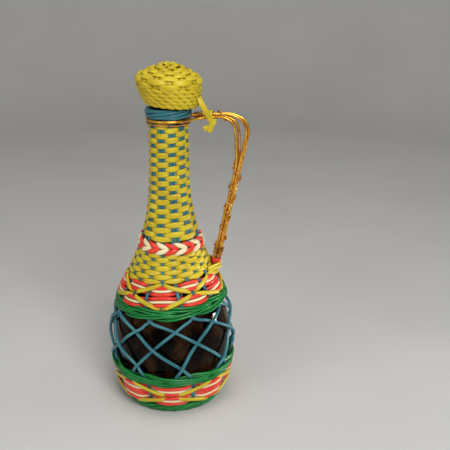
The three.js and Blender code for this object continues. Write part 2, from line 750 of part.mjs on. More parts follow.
// The least gap between turns of a wound wire, measured on points along it
function leastGap(stations) {
  const points = [];
  for (let i = 0; i < stations.length - 1; i += 1) {
    for (const part of [0, 0.25, 0.5, 0.75]) {
      points.push(stations[i].centre.clone().lerp(stations[i + 1].centre, part));
    }
  }
  const apart = 3 * BINDING_STEPS_PER_TURN;
  let least = Infinity;
  for (let i = 0; i < points.length; i += 1) {
    for (let k = i + apart; k < points.length; k += 1) {
      least = Math.min(least, points[i].distanceTo(points[k]));
    }
  }
  return least - LASHING_WIRE;
}

// A flat cord tied once round the handle
function handleTie(share, width, tieRadius) {
  const steps = 12;
  const { middle, inward, sideways } = handleFrame(share);
  const stations = [];
  for (let step = 0; step < steps; step += 1) {
    const turn = step * TURN / steps;
    const outward = inward.clone().multiplyScalar(Math.cos(turn)).addScaledVector(sideways, Math.sin(turn));
    const centre = middle.clone().addScaledVector(outward, tieRadius);
    stations.push({ centre, outward, halfWidth: width / 2, halfThickness: TIE_THICKNESS / 2 });
  }
  return sweep(stations, true);
}

// A straight flat cord end
function cordEnd(from, to, outward) {
  const half = { outward, halfWidth: TIE_WIDTH / 2, halfThickness: TIE_THICKNESS / 2 };
  return sweep([{ centre: from, ...half }, { centre: to, ...half }], false);
}

function handleTies() {
  const { middle, inward, along } = handleFrame(KNOT_SHARE);
  const knot = middle.clone().addScaledVector(inward, TIE_RADIUS);
  const front = new THREE.Vector3(0, -1, 0);
  const ends = KNOT_ENDS.map(([down, onward]) => {
    const end = knot.clone().addScaledVector(inward, down).addScaledVector(along, onward);
    return cordEnd(knot, end, front);
  });
  add('tether_knot', join(handleTie(KNOT_SHARE, TIE_WIDTH, TIE_RADIUS), ...ends), 'yellow');
  add('foot_tie', handleTie(FOOT_TIE_SHARE, FOOT_TIE_WIDTH, FOOT_TIE_RADIUS), 'coral');
}

// The wrap holds the handle's foot against the shoulder.
function footWrap() {
  const back = FOOT_WRAP.map(([x, y]) => [x, -y]).reverse();
  const stations = [...FOOT_WRAP, ...back].map(([x, y]) => ({
    centre: new THREE.Vector3(x, y, FOOT_WRAP_HEIGHT),
    outward: new THREE.Vector3(x - FOOT_WRAP_CENTRE, y, 0).normalize(),
    halfWidth: WEAVER_HEIGHT / 2,
    halfThickness: WEAVER_THICKNESS / 2,
  }));
  add('foot_wrap', sweep(stations, false), 'yellow');
}

function stopperCork() {
  const plug = [
    [0, -PLUG_LENGTH], [PLUG_RADIUS - PLUG_EDGE, -PLUG_LENGTH], [PLUG_RADIUS, PLUG_EDGE - PLUG_LENGTH],
    [PLUG_RADIUS, KNOB[0][1]],
  ];
  const cork = add('stopper_cork', turned([...plug, ...KNOB], CORK_SIDES), 'cork');
  cork.position.z = STOPPER_BASE;
}

// The edge of a row of the stopper, and past the last row the middle of its top
function stopperEdge(row) {
  return STOPPER_ROWS[row] ?? [0, STOPPER_TOP];
}

// The rings of the cover's outside. In the middle of each row the cord stands in front of every other stake
// and behind the rest, and the next row does the opposite.
function stopperRings() {
  const rings = [];
  STOPPER_ROWS.forEach(([radius, height], row) => {
    rings.push(() => [radius, height]);
    const [nextRadius, nextHeight] = stopperEdge(row + 1);
    const length = Math.hypot(nextRadius - radius, nextHeight - height);
    rings.push((side) => {
      const out = ((side + row) % 2 === 0 ? STOPPER_FRONT : STOPPER_BEHIND) / length;
      return [
        (radius + nextRadius) / 2 + (nextHeight - height) * out,
        (height + nextHeight) / 2 - (nextRadius - radius) * out,
      ];
    });
  });
  return rings;
}

// The woven cover: a shell, from the top of its lining down to the rim and up the woven outside
function stopperCover() {
  const lining = STOPPER_LINING.map((point) => () => point).reverse();
  const rings = [...lining, ...stopperRings()];
  const positions = [0, 0, STOPPER_LINING_TOP, 0, 0, STOPPER_TOP];
  rings.forEach((ring, index) => {
    for (let side = 0; side < STOPPER_SIDES; side += 1) {
      const angle = side * TURN / STOPPER_SIDES;
      const [radius, height] = ring(side);
      const uneven = index < lining.length ? 0 : ramp(STOPPER_EVEN_HEIGHT, 0, height);
      positions.push(
        radius * Math.sin(angle) + STOPPER_PUSH * uneven,
        -radius * Math.cos(angle),
        height - STOPPER_HANG * uneven * Math.sin(angle),
      );
    }
  });
  const faces = [];
  for (let side = 0; side < STOPPER_SIDES; side += 1) {
    const next = (side + 1) % STOPPER_SIDES;
    const at = (ring, k) => 2 + ring * STOPPER_SIDES + k;
    faces.push(0, at(0, next), at(0, side));
    for (let ring = 0; ring < rings.length - 1; ring += 1) {
      faces.push(at(ring, side), at(ring, next), at(ring + 1, next));
      faces.push(at(ring, side), at(ring + 1, next), at(ring + 1, side));
    }
    faces.push(1, at(rings.length - 1, side), at(rings.length - 1, next));
  }
  const cover = add('stopper_cover', facingOut(positions, faces), 'yellow');
  cover.position.z = STOPPER_BASE;
  cover.rotation.y = STOPPER_TILT;
}

// The tether ends in front of the knot on the handle.
function tether() {
  const { middle } = handleFrame(KNOT_SHARE);
  const way = TETHER_WAY.map(([x, y, above]) => new THREE.Vector3(x, y, STOPPER_BASE + above));
  way.push(new THREE.Vector3(middle.x, -TIE_RADIUS - TIE_THICKNESS - GAP, middle.z + TIE_THICKNESS));
  const route = new THREE.CatmullRomCurve3(way);
  const outward = new THREE.Vector3(0.3, -1, 0.2).normalize();
  const stations = [];
  for (let step = 0; step <= TETHER_STEPS; step += 1) {
    const centre = route.getPointAt(step / TETHER_STEPS);
    stations.push({ centre, outward, halfWidth: TETHER_WIDTH / 2, halfThickness: TETHER_THICKNESS / 2 });
  }
  add('stopper_tether', sweep(stations, false), 'yellow');
}

glassBottle();
uprightCords();
neckWeavers();
shoulderWeavers();
braid();
stripedBand('shoulder_band', SHOULDER_BAND, SHOULDER_PART, (cord) => FIRST_PAIR + (cord + 0.5) * CORD_STEP);
stripedBand('base_band', BASE_BAND, BASE_PART, (cord) => BASE_BAND_PHASE + cord * CORD_STEP);
upperRing();
lowerRing();
baseRing();
mouthBorder();
collar();
handleWires();
handleBinding();
handleTies();
footWrap();
stopperCork();
stopperCover();
tether();

export default bottle;
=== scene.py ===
"""Looks of the covered bottle: woven plastic cord over dark glass, a wire handle and a woven stopper.

Lengths are millimetres about the bottle's axis until a mesh is made, and metres from there on.
Angles run round the axis from the front (-Y) towards the handle (+X).
"""
import math

import bpy
import numpy as np
from mathutils import Matrix


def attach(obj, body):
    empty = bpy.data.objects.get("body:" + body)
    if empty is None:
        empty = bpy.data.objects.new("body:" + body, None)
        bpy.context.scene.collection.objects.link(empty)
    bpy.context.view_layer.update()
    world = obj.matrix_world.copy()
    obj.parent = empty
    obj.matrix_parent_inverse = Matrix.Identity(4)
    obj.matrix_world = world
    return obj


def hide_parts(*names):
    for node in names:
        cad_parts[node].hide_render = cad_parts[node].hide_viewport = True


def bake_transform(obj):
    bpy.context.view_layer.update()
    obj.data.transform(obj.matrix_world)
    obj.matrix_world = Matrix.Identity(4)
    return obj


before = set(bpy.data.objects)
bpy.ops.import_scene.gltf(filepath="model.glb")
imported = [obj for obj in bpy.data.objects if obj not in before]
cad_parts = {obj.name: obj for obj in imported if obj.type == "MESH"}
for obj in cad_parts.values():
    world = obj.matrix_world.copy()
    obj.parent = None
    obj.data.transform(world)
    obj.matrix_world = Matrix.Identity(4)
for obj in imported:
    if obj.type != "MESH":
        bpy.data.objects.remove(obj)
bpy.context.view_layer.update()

TURN = 2 * math.pi
DEGREE = math.pi / 180
MILLIMETRE = 0.001
AXIS_X = -4.225

# Camera of the photograph
CAMERA_PLACE = (41.545, -600, 375.04)
CAMERA_PITCH = 69.965 * DEGREE
CAMERA_ROLL = 0.258 * DEGREE
CAMERA_LENS = 60.676
CAMERA_SENSOR = 36
CAMERA_NEAR = 0.01

# Fineness of the meshes: sides of a cord, and points on each stretch of a curve, weave step or round edge
CORD_SIDES = 12
CURVE_POINTS = 40
STEP_POINTS = 12
EDGE_POINTS = 5

# A cord's open end: its reach, width and thickness as shares of the cord's own
TIP_REACH = 0.45
TIP_WIDTH = 0.7
TIP_THICKNESS = 0.6

# Hand-made unevenness: waves along an open cord and round a closed one
OPEN_WAVES = (2.3, 5.1, 8.7)
CLOSED_WAVES = (2, 5, 11)
SEED_START = 1.7
SEED_STEP = 2.39

# Slant of a twined cord: how much it hurries while behind, and the largest sum that gives
SLANT_HURRY = 0.25
SLANT_PEAK = 1.1

# Glass: height and outside radius where its curve changes
GLASS_CURVE = np.array([
    (6, 37.5), (9, 41), (14, 43.2), (34, 47.6), (55, 50.4), (69, 49.4), (97, 40.8),
    (114, 33), (134, 24.6), (159, 17.4), (184, 13.3), (209, 12.15), (251, 11.6),
])
GLASS_BASE = 4.6
GLASS_WALL = 2.7
GLASS_STEP = 1.5
GLASS_SIDES = 96
FLOOR_WALL = 3.7
INSIDE_BASE = 13
PUNT_HEIGHT = 9
PUNT_RADIUS = 30
PUNT_BEND = 1.6
PUNT_POINTS = 9
MOUTH_TOP = 257.4
LIP_BASE = 251
LIP_RADIUS = 13.2
LIP_EDGE = 0.9
BORE_RADIUS = 9.4
BORE_BASE = 214
BORE_BLEND = 25

# Hand spacing of the cords: closer than even on the neck's front, wider on the belly's front
NECK_SPREAD = -0.05
BELLY_SPREAD = 0.25
SPREAD_TOP = 118

# The cords drift towards the handle as they come down the shoulder.
TWIST = 5.5 * DEGREE
TWIST_TOP = 139

# Upright cords
PAIRS = 10
CORDS = 2 * PAIRS
PAIR_STEP = TURN / PAIRS
CORD_STEP = TURN / CORDS
FIRST_PAIR = -57 * DEGREE
STAKE_WIDTH = 3.1
STAKE_THICKNESS = 1.6
STAKE_SQUARE = 0.85
STAKE_PITCH = 3.2
STAKE_OUT = 2.9
STAKE_TOP = 247.6
STAKE_STEP = 1.5
BEND_DEGREES = 70
BEND_POINTS = 7
PAIR_BASE = 149.6
SPLIT_TOP = 147.2
GATHER_TOP = 100
GATHER_BASE = 88
BASE_TOP = 41.8
EVEN_HEIGHT = 29
STAKE_BASE = 11

# Points over which an upright cord's way and its roundness are evened out
WAY_REACH = 3
ROUND_REACH = 4

# Open net on the belly: how far round each cord of a pair runs, and how it bows
NET_TOP = 86.6
NET_BASE = 36.8
NET_END = 0.9
NET_POINTS = 70
NET_RIGHT_TRAVEL = 70.6 * DEGREE
NET_LEFT_TRAVEL = 52.8 * DEGREE
NET_BOW = 0.65
NET_CORD = 2.65
NET_UNDER = 1.75
NET_OVER = 4.75
NET_CROSSINGS = 4

# The left-running cords lie unevenly round the belly, between these shares of the net's height.
NET_SHIFT = 7 * DEGREE
NET_SHIFT_PLACE = 33 * DEGREE
NET_SHIFT_FULL = (0.1, 0.5)
NET_SHIFT_END = 0.98

# The rows near the upper green ring stand higher on the handle's side.
LEAN = 2.5
LEAN_HEIGHT = 97
LEAN_REACH = 46

# Woven rows
WEAVE = 1.4
WEAVER_THICKNESS = 1.3
WEAVER_SQUARE = 0.62
WEAVER_UNEVEN = {"out": 0.1, "half": 0.07, "height": 0.12}
NECK_ROW = 3.9
NECK_WEAVE_BASE = 153.4
NECK_WEAVE_LOW = 150.4
NECK_WEAVE_TOP = 244.2
NECK_AHEAD = 0.25
NECK_OVERLAP = 0.4
NECK_TAPER = 0.3
NECK_SWELL = 0.22
NECK_BEHIND = 0.45
NECK_SOFTNESS = 0.7
SHOULDER_ROW = 3.3
SHOULDER_WEAVE_BASE = 119.9
SHOULDER_WEAVE_TOP = 137
SHOULDER_OVERLAP = 0.5
SHOULDER_SWELL = 0.34
SHOULDER_BEHIND = 0.32
SHOULDER_SOFTNESS = 0.85
SHOULDER_SEED = 5

# Starts of the weavers round the bottle, and their first and last steps
NECK_RUNS = [(1, -4, 116), (1 + PAIRS / 2, -6, 116)]
SHOULDER_RUNS = [(0, -8, 50), (1 + CORDS / 2, -12, 56)]

# Braid of coral and cream
BRAID_HEIGHT = 142.8
BRAID_ROW = 2.25
BRAID_CORD = 3.6
BRAID_THICKNESS = 2
BRAID_SQUARE = 0.85
BRAID_RISE = 1.9
BRAID_BEHIND = 0.24
BRAID_OUT = 0.2
BRAID_WEAVE = 1.7
BRAID_BULGE = 0.5
BRAID_SLIM = 0.85
BRAID_SWELL = 0.3
BRAID_FULLER = 0.15
BRAID_UNEVEN = 0.15
BRAID_POINTS = 14

# Striped bands
STRIPE_COLOURS = ("coral", "cream", "coral")
STRIPE_FULLNESS = {"coral": 1.1, "cream": 0.86}
STRIPE_THICKNESS = 2.3
STRIPE_SQUARE = 0.95
STRIPE_BEHIND = 0.26
STRIPE_OUT = 0.1
STRIPE_WEAVE = 1.7
STRIPE_BULGE = 0.35
STRIPE_UNEVEN = {"out": 0.1, "height": 0.18}
SHOULDER_BAND = 106.6
SHOULDER_STRIPE = 2.8
SHOULDER_PART = 2.2
BASE_BAND = 21.3
BASE_BAND_PHASE = -4 * DEGREE
BASE_STRIPE = 3.0
BASE_PART = 0.7

# Yellow cords that cross the bands. Ways are counted in upright cords from where the stripes part, up to 2.
CROSS_WIDTH = 3.6
CROSS_THICKNESS = 1.7
CROSS_SQUARE = 0.85
CROSS_INNER = 1.0
CROSS_OVERLAP = 0.5
CROSS_UNEVEN = 0.2
CROSS_RUN = (0.1, 1.9)
CROSS_NARROW = 0.7
CROSS_FULL_WAY = 0.4
CROSS_REACH = {"height": 4, "out": 2}

# Way and height above the upright cords of a crossing cord, which dives in at both ends of its run
CROSS_DIVE = [(0, -1.5), (0.1, -1.1), (0.25, 2.2), (0.45, 3.1), (1, 2.4), (1.75, 2.4), (1.9, 0), (2, -1.6)]

# Green rings, twined from cords that lie two by two
UPPER_RING = 93.7
UPPER_RING_ROW = 1.9
LOWER_RING = 35.8
LOWER_RING_ROW = 1.4
LOWER_RING_FIRST = -67 * DEGREE
RING_CORD = 2.1
RING_THICKNESS = 2.3
RING_LANE = 0.52
RING_RISE = 2
RING_WEAVE = 2.1
RING_BEHIND = 0.36
RING_UNEVEN = {"out": 0.15, "height": 0.2}
RING_POINTS = 22

# Green rope that the bottle stands on, and the flat turns of cord under it
BASE_RING_RADIUS = 41.3
BASE_RING_HEIGHT = 4.2
BASE_RING_CORDS = 4
BASE_RING_TURNS = 6
BASE_RING_LIFT = 2.5
BASE_RING_LEAN = 0.35
BASE_RING_DEPTH = 1.3
BASE_RING_HALF = (1.7, 1.4)
BASE_RING_SIDES = 10
UNDER_RADII = (37.6, 33.9)
UNDER_HEIGHT = 1.75
UNDER_HALF = (2.05, 1.5)
UNDER_UNEVEN = 0.2

# Mouth border and collar
BORDER_RADIUS = 16.6
BORDER_HEIGHT = 252.7
BORDER_CORDS = 3
BORDER_TURNS = 1
BORDER_LANE = 28 * DEGREE
BORDER_DEPTH = 1.4
BORDER_RISE = 2.8
BORDER_WIDTH = 2.6
BORDER_THICKNESS = 2.3
BORDER_UNEVEN = {"out": 0.15, "height": 0.2}
BORDER_POINTS = 240
COLLAR_RADIUS = 17
COLLAR_HEIGHT = 247.3
COLLAR_WIRE = 2.7
COLLAR_POINTS = 160
COLLAR_SIDES = 10
LASHING_HEIGHT = 244.2
LASHING_WIRE = 1.2
LASHING_OUT = 0.35
LASHING_SHARE = 0.6
LASHING_PITCH = 2.1
LASHING_POINTS = 640
LASHING_SIDES = 6

# Wires of the handle, as ways out from the axis and heights
OUTER_WIRE = [
    (19.6, 250.4), (36, 250.6), (50, 250.5), (59.6, 246), (63.4, 238),
    (61.6, 225), (58.1, 209), (49.6, 170), (38.9, 120.5),
]
INNER_WIRE = [
    (18.6, 248), (36, 248.2), (46.5, 247.9), (52.8, 243.8), (55.2, 236),
    (55.9, 224), (55.5, 209), (47, 170), (36.3, 122),
]
HANDLE_WIRE = 2.3
WIRE_SIDE = 1.2
WIRE_FAN = 0.8
WIRE_FAN_TOP = {"outer": 1.0, "inner": 1.5}
WIRE_FAN_HEIGHTS = (200, 236)
WIRE_UNEVEN = 0.25
WIRE_WAVES = 9
WIRE_POINTS = 220
GUIDE_POINTS = 600

# A small tilt, so that a wire's way out never lies along the wire
WIRE_TILT = (0.01, 0, 0.013)

# Where the inner wires lie on the collar and leave it, and the point that they pass then
COLLAR_HOLD = 34 * DEGREE
COLLAR_LEAVE = 58 * DEGREE
COLLAR_CLEAR = {"out": 24.5, "side": 4.6, "above": 0.5}

# Thin wire round the handle, as shares of the handle's length and turns made by there
BINDING_TURNS = [(0.012, 0), (0.05, 3), (0.16, 5), (0.47, 5), (0.9, 9), (0.955, 12)]
BINDING_REACH = 1.8
BINDING_LOOSE = 1.3
BINDING_LOOSE_SHARE = 0.885
BINDING_SIDE = 2.9
BINDING_BLEND = 0.05
BINDING_SHARE = 0.65
BINDING_PITCH = 2.4
BINDING_UNEVEN = 0.5
BINDING_WAVES = 40
BINDING_POINTS = 1500

# Ties on the handle. The knot's points lie along, sideways and inward from the handle's middle.
TIE_WIDTH = 4
TIE_THICKNESS = 1.4
TIE_SQUARE = 0.8
TIE_POINTS = 90
KNOT_SHARE = 0.075
KNOT_CENTRE = (2.6, 0, 0)
KNOT_WRAP = [
    (2.2, -5.6, 3.2), (1.9, -5, 0), (1.9, -3.4, -2.9), (2.6, 0, -3.8), (3.6, 3.2, -2.5), (4.2, 3.8, 1),
    (4.8, 2.6, 3.6), (5.6, -1, 4.4), (5.8, -4.2, 3.2), (5.2, -6, 4), (3.8, -6.4, 6.4),
]
KNOT_LOW_END = [(2.9, -6.9, 2.2), (3.4, -7, 5), (2.7, -6.6, 8.2), (1.2, -6.1, 12)]
KNOT_SIDE_END = [(4.2, -6, 5.4), (1.4, -6.1, 8), (-3.2, -5.6, 9.4)]
KNOT_HANG = (0.7, 0.85)
FOOT_TIE_SHARES = (0.968, 0.988)
FOOT_TIE_TURNS = (0.1, 2.3)
FOOT_TIE_RADIUS = 3.3
FOOT_TIE_HALF = (1.6, 0.7)
FOOT_TIE_POINTS = 120
FOOT_WRAP = [(31.6, -13.8), (36.2, -9), (40, -4.6), (41.5, -1.6)]
FOOT_WRAP_HEIGHT = 121.2
FOOT_WRAP_CENTRE = 14
FOOT_WRAP_HALF = (1.45, 0.75)
FOOT_WRAP_ROWS = [(1.3, 0), (-1.4, 0.5)]

# Stopper: radius and height above its rim, up the side and over the top
STOPPER_BASE = 258.4
STOPPER_CURVE = [
    (20.2, 0), (22.2, 4.4), (23.7, 8.8), (24.8, 13.2), (25.4, 17.6), (25.2, 21),
    (22.8, 23.4), (19.6, 25.3), (15.6, 27.4), (10.6, 29.7), (5.4, 31.6), (0, 32.3),
]
STOPPER_POINTS = 400
STOPPER_PUSH = 2.6
STOPPER_HANG = 0.9
STOPPER_EVEN_HEIGHT = 17.6
STOPPER_TILT = 3 * DEGREE
STOPPER_SIDES = 10
SIDE_STITCHES = 20
SIDE_BASE = 2.4
SIDE_ROWS = 5
SIDE_ROW = 3.05
SIDE_CORD = 3
SIDE_THICKNESS = 1.9
SIDE_SQUARE = 0.85
SIDE_SWELL = 0.3
SIDE_RISE = 1.1
SIDE_BEHIND = 0.3
SIDE_WEAVE = 1.1
SIDE_BULGE = 0.4
SIDE_SINK = 1.1
SIDE_UNEVEN = 0.2
TOP_ROW = 3.6
TOP_OVERLAP = 0.35
TOP_THICKNESS = 1.7
TOP_SQUARE = 0.8
TOP_SWELL = 0.35
TOP_BEHIND = 0.24
TOP_SOFTNESS = 0.8
TOP_BULGE = 0.6
TOP_SINK = 0.9
TOP_UNEVEN = {"out": 0.15, "height": 0.2}
TOP_SPARSE = 15
TOP_END = 0.9
STOPPER_STAKES = 14
STOPPER_FIRST = 5 * DEGREE
STOPPER_STAKE_HALF = (1.8, 2.0)
STOPPER_STAKE_THICKNESS = 1.4
STOPPER_STAKE_SIDES = 8
STOPPER_STAKE_SINK = 0.6
STOPPER_STAKE_ENDS = (0.5, 11)
STOPPER_STAKE_POINTS = 60
LINING_DEPTH = (1.5, 0.9)
LINING_END = 0.1
LINING_RINGS = 50
LINING_SIDES = 64

# Cork under the cover, and the tether from the cover to the knot
KNOB = [(13.8, 0.6), (19.4, 13.2), (18.6, 19.6), (10.6, 26.4), (0, 28)]
KNOB_POINTS = 40
PLUG_RADIUS = 9
PLUG_LENGTH = 12
PLUG_EDGE = 0.8
PLUG_MIDDLE = 0.01
CORK_SIDES = 64
TETHER_WAY = [(24.8, -9.2, 7), (27.4, -10, 1.8), (30.4, -9.4, -3.8)]
TETHER_END = {"out": 2.9, "side": -7.6, "above": -2.8}
TETHER_FACE = (0.35, -1.0, 0.25)
TETHER_WIDTH = 4.6
TETHER_THICKNESS = 1.5
TETHER_POINTS = 60

# Grain of the materials: noise for each millimetre along, across and out of a cord, or each metre of place
STREAKS = (0.07, 2.4, 2.4)
SCUFFS = (0.5, 0.9, 0.9)
TONES = (45, 45, 45)
TARNISH = (0.16, 0.5, 0.5)
DRAWN_LINES = (0.15, 7, 7)
BLOWN_WAVES = (30, 30, 22)
DUST = (60, 60, 45)
CORK_CELLS = (420, 420, 420)
CORK_PORES = (260, 260, 420)
FLOOR_TONES = (6, 6, 6)

# Shares of streaks and slow tones in a cord's colour, and the painted shade where cords meet: colour darkened
# by ambient occlusion
STREAK_SHARE = 0.55
TONE_SHARE = 0.45
SHADE_REACH = 0.0035
SHADE_MOST = 0.75
SHADE_HOLLOWS = (0.25, 0.85)
SHADE_TINT = (0.2, 0.4)

# Round studio floor that bends up into a wall, in metres
FLOOR_FLAT = 1.1
FLOOR_BEND = 0.5
FLOOR_MIDDLE = 0.001
FLOOR_SIDES = 96
BEND_RINGS = 12
WALL_TOP = 1.6

# Lights of the studio: name, place, aim, width, height, power and spread
LIGHTS = [
    ("key", (0.4, -0.95, 0.85), (0, 0, 0.13), 0.6, 0.6, 10.4, 180 * DEGREE),
    ("fill", (-0.8, -0.75, 0.55), (0, 0, 0.13), 0.8, 0.8, 2.4, 180 * DEGREE),
    ("side", (0.59, 0.1, 0.04), (0, 0, 0.08), 0.09, 0.06, 0.06, 30 * DEGREE),
    ("top", (0.0, -0.1, 1.1), (0, 0, 0.2), 0.7, 0.7, 3.4, 180 * DEGREE),
]
SKY_COLOUR = (0.9, 0.92, 0.95, 1)
SKY_STRENGTH = 0.16


def ramp(low, high, value):
    """How far value has come from low to high, from 0 to 1."""
    return np.clip((value - low) / (high - low), 0, 1)


def mix(low, high, share):
    return low + (high - low) * share


def unit(vectors):
    return vectors / np.linalg.norm(vectors, axis=-1, keepdims=True)


def around(count):
    """count even angles round the axis."""
    return np.arange(count) * TURN / count


def weave_wave(turn, behind, softness=0.45):
    """The way of a cord over and under others: 1 in front, and below 0 for the share behind of its turns."""
    bias = math.cos(math.pi * behind)
    return np.tanh((np.cos(turn) + bias) / max(1 - bias, softness))


def slant(turn):
    """The way across of a twined cord: it goes over steadily while in front, and back while behind."""
    return (np.sin(turn) - SLANT_HURRY * np.sin(2 * turn)) / SLANT_PEAK


def wobble(place, seed, waves=OPEN_WAVES):
    """Hand-made unevenness from -1 to 1 along a cord, different for each seed."""
    total = sum(np.sin(wave * place + seed * (SEED_START + SEED_STEP * k)) for k, wave in enumerate(waves))
    return total / len(waves)


def ring_wobble(angle, seed):
    """The same, for a cord that closes on itself."""
    return wobble(angle, seed, CLOSED_WAVES)


def smoothed(values, reach, closed=False):
    """values, evened out over reach steps to each side. Closed ones run on from their end to their start."""
    kernel = np.hanning(2 * reach + 3)[1:-1]
    padded = np.pad(values, reach, "wrap" if closed else "edge")
    return np.convolve(padded, kernel / kernel.sum(), "valid")


def lengths_along(points):
    """How far along a line each of its points lies."""
    return np.concatenate([[0], np.cumsum(np.linalg.norm(np.diff(points, axis=0), axis=1))])


def evenly(points, count):
    """count points at even distances along a line through points."""
    lengths = lengths_along(points)
    places = np.linspace(0, lengths[-1], count)
    return np.stack([np.interp(places, lengths, column) for column in points.T], -1)


def smooth_curve(points, count):
    """count evenly spaced points on a smooth curve through the given points."""
    points = np.asarray(points, float)
    padded = np.vstack([2 * points[0] - points[1], points, 2 * points[-1] - points[-2]])
    dense = []
    for i in range(len(points) - 1):
        a, b, c, d = padded[i:i + 4]
        t1 = np.linalg.norm(b - a) ** 0.5
        t2 = t1 + np.linalg.norm(c - b) ** 0.5
        t3 = t2 + np.linalg.norm(d - c) ** 0.5
        t = np.linspace(t1, t2, CURVE_POINTS, endpoint=False)[:, None]
        ab = mix(a, b, t / t1)
        bc = mix(b, c, (t - t1) / (t2 - t1))
        cd = mix(c, d, (t - t2) / (t3 - t2))
        first = mix(ab, bc, t / t2)
        second = mix(bc, cd, (t - t1) / (t3 - t1))
        dense.append(mix(first, second, (t - t1) / (t2 - t1)))
    dense.append(points[-1:])
    return evenly(np.vstack(dense), count)


def glass_radius(height):
    """Outside radius of the glass: a smooth curve through the points of GLASS_CURVE."""
    heights, radii = GLASS_CURVE.T
    places = np.arange(len(heights))
    before = np.maximum(places - 1, 0)
    after = np.minimum(places + 1, places[-1])
    slopes = (radii[after] - radii[before]) / (heights[after] - heights[before])
    i = np.clip(np.searchsorted(heights, height) - 1, 0, len(heights) - 2)
    span = heights[i + 1] - heights[i]
    share = ramp(heights[i], heights[i + 1], height)
    square = share * share
    cube = square * share
    return (
        (2 * cube - 3 * square + 1) * radii[i]
        + (cube - 2 * square + share) * span * slopes[i]
        + (3 * square - 2 * cube) * radii[i + 1]
        + (cube - square) * span * slopes[i + 1]
    )


def glass_slope(height):
    return glass_radius(height + 0.5) - glass_radius(height - 0.5)


def climb(height, distance):
    """The height reached by going a distance along the glass from a height."""
    return height + distance / np.hypot(1, glass_slope(height))


def round_axis(angle, radius, height):
    return np.stack([radius * np.sin(angle), -radius * np.cos(angle), height + 0 * angle], -1)


def on_bottle(angle, height, out):
    """Points off the glass at angles and heights, and the ways out from it there."""
    lean = LEAN * np.maximum(0, 1 - ((height - LEAN_HEIGHT) / LEAN_REACH) ** 2) ** 2
    level = height + lean * np.sin(angle)
    slope = glass_slope(level)
    outward = np.stack([np.sin(angle), -np.cos(angle), -slope], -1) / np.hypot(1, slope)[:, None]
    return round_axis(angle, glass_radius(level), level) + outward * out[:, None], outward


def hand_angle(even, height):
    """The hand spacing at a height, for an even angle round the bottle."""
    spread = mix(BELLY_SPREAD, NECK_SPREAD, ramp(NET_TOP, SPREAD_TOP, height))
    drifted = even + TWIST * ramp(TWIST_TOP, GATHER_TOP, height)
    return drifted + spread * np.sin(drifted)


def frames(centres, outward, closed):
    """Ways along, across and out of a line, square to each other."""
    if closed:
        along = np.roll(centres, -1, axis=0) - np.roll(centres, 1, axis=0)
    else:
        along = np.gradient(centres, axis=0)
    along = unit(along)
    across = unit(np.cross(outward, along))
    return along, across, np.cross(along, across)


def with_tips(values, share):
    """values along a cord, with a share of the first and of the last for its tips."""
    return np.concatenate([values[:1] * share, values, values[-1:] * share])


def strand(centres, outward, half_width, half_thickness, closed=False, sides=CORD_SIDES, square=1.0):
    """Corners, faces and grain of one cord. Grain is the place along, across and out of it, in millimetres.

    square is 1 for an oval cord, and less for one with flatter faces."""
    count = len(centres)
    along, across, out = frames(centres, outward, closed)
    half_width = np.broadcast_to(half_width, count).astype(float)
    half_thickness = np.broadcast_to(half_thickness, count).astype(float)
    places = lengths_along(centres)
    if not closed:
        first, last = TIP_REACH * half_thickness[[0, -1]]
        centres = np.vstack([centres[0] - along[0] * first, centres, centres[-1] + along[-1] * last])
        across, out, places = (with_tips(values, 1) for values in (across, out, places))
        half_width = with_tips(half_width, TIP_WIDTH)
        half_thickness = with_tips(half_thickness, TIP_THICKNESS)
        count += 2
    turn = around(sides)
    a = np.sign(np.cos(turn)) * np.abs(np.cos(turn)) ** square
    b = np.sign(np.sin(turn)) * np.abs(np.sin(turn)) ** square
    wide = half_width[:, None] * a
    thick = half_thickness[:, None] * b
    corners = centres[:, None] + across[:, None] * wide[..., None] + out[:, None] * thick[..., None]
    grain = np.stack([np.broadcast_to(places[:, None], wide.shape), wide, thick], -1)
    ring = np.arange(count if closed else count - 1)[:, None] * sides
    here = (ring + np.arange(sides)).ravel()
    beside = (ring + (np.arange(sides) + 1) % sides).ravel()
    total = count * sides
    faces = np.stack([here, (here + sides) % total, (beside + sides) % total, beside], -1).tolist()
    if not closed:
        faces.append(list(range(sides)))
        faces.append(list(range(total - 1, total - 1 - sides, -1)))
    return corners.reshape(-1, 3), faces, grain.reshape(-1, 3)


def twisted(centres, outward, share, pitch, closed=False):
    """Two thin wires twisted together along a line, each with a share of the lashing's thickness."""
    along, across, out = frames(centres, outward, closed)
    places = lengths_along(centres)
    if closed:
        length = places[-1] + np.linalg.norm(centres[0] - centres[-1])
        pitch = length / round(length / pitch)
    half = LASHING_WIRE * share / 2
    strands = []
    for start in (0, math.pi):
        turn = (places / pitch * TURN + start)[:, None]
        way = np.cos(turn) * out + np.sin(turn) * across
        strands.append(strand(centres + way * (LASHING_WIRE / 4), way, half, half, closed, LASHING_SIDES))
    return strands


def grid_faces(rings, sides):
    """Faces between rings of corners."""
    first = np.arange(rings - 1)[:, None] * sides
    here = (first + np.arange(sides)).ravel()
    beside = (first + (np.arange(sides) + 1) % sides).ravel()
    return np.stack([here, beside, beside + sides, here + sides], -1).tolist()


def lathe(outline, sides):
    """Corners, faces and grain of an outline of radius and height turned about the axis."""
    outline = np.asarray(outline, float)
    angle = around(sides)
    corners = np.stack([
        outline[:, :1] * np.sin(angle), -outline[:, :1] * np.cos(angle),
        np.broadcast_to(outline[:, 1:], (len(outline), sides)),
    ], -1)
    corners = corners.reshape(-1, 3)
    return corners, grid_faces(len(outline), sides), corners


def add_mesh(name, corners, faces, material):
    mesh = bpy.data.meshes.new(name)
    mesh.from_pydata(corners.tolist(), [], faces)
    mesh.materials.append(material)
    mesh.shade_smooth()
    made = bpy.data.objects.new(name, mesh)
    bpy.context.scene.collection.objects.link(made)
    return made


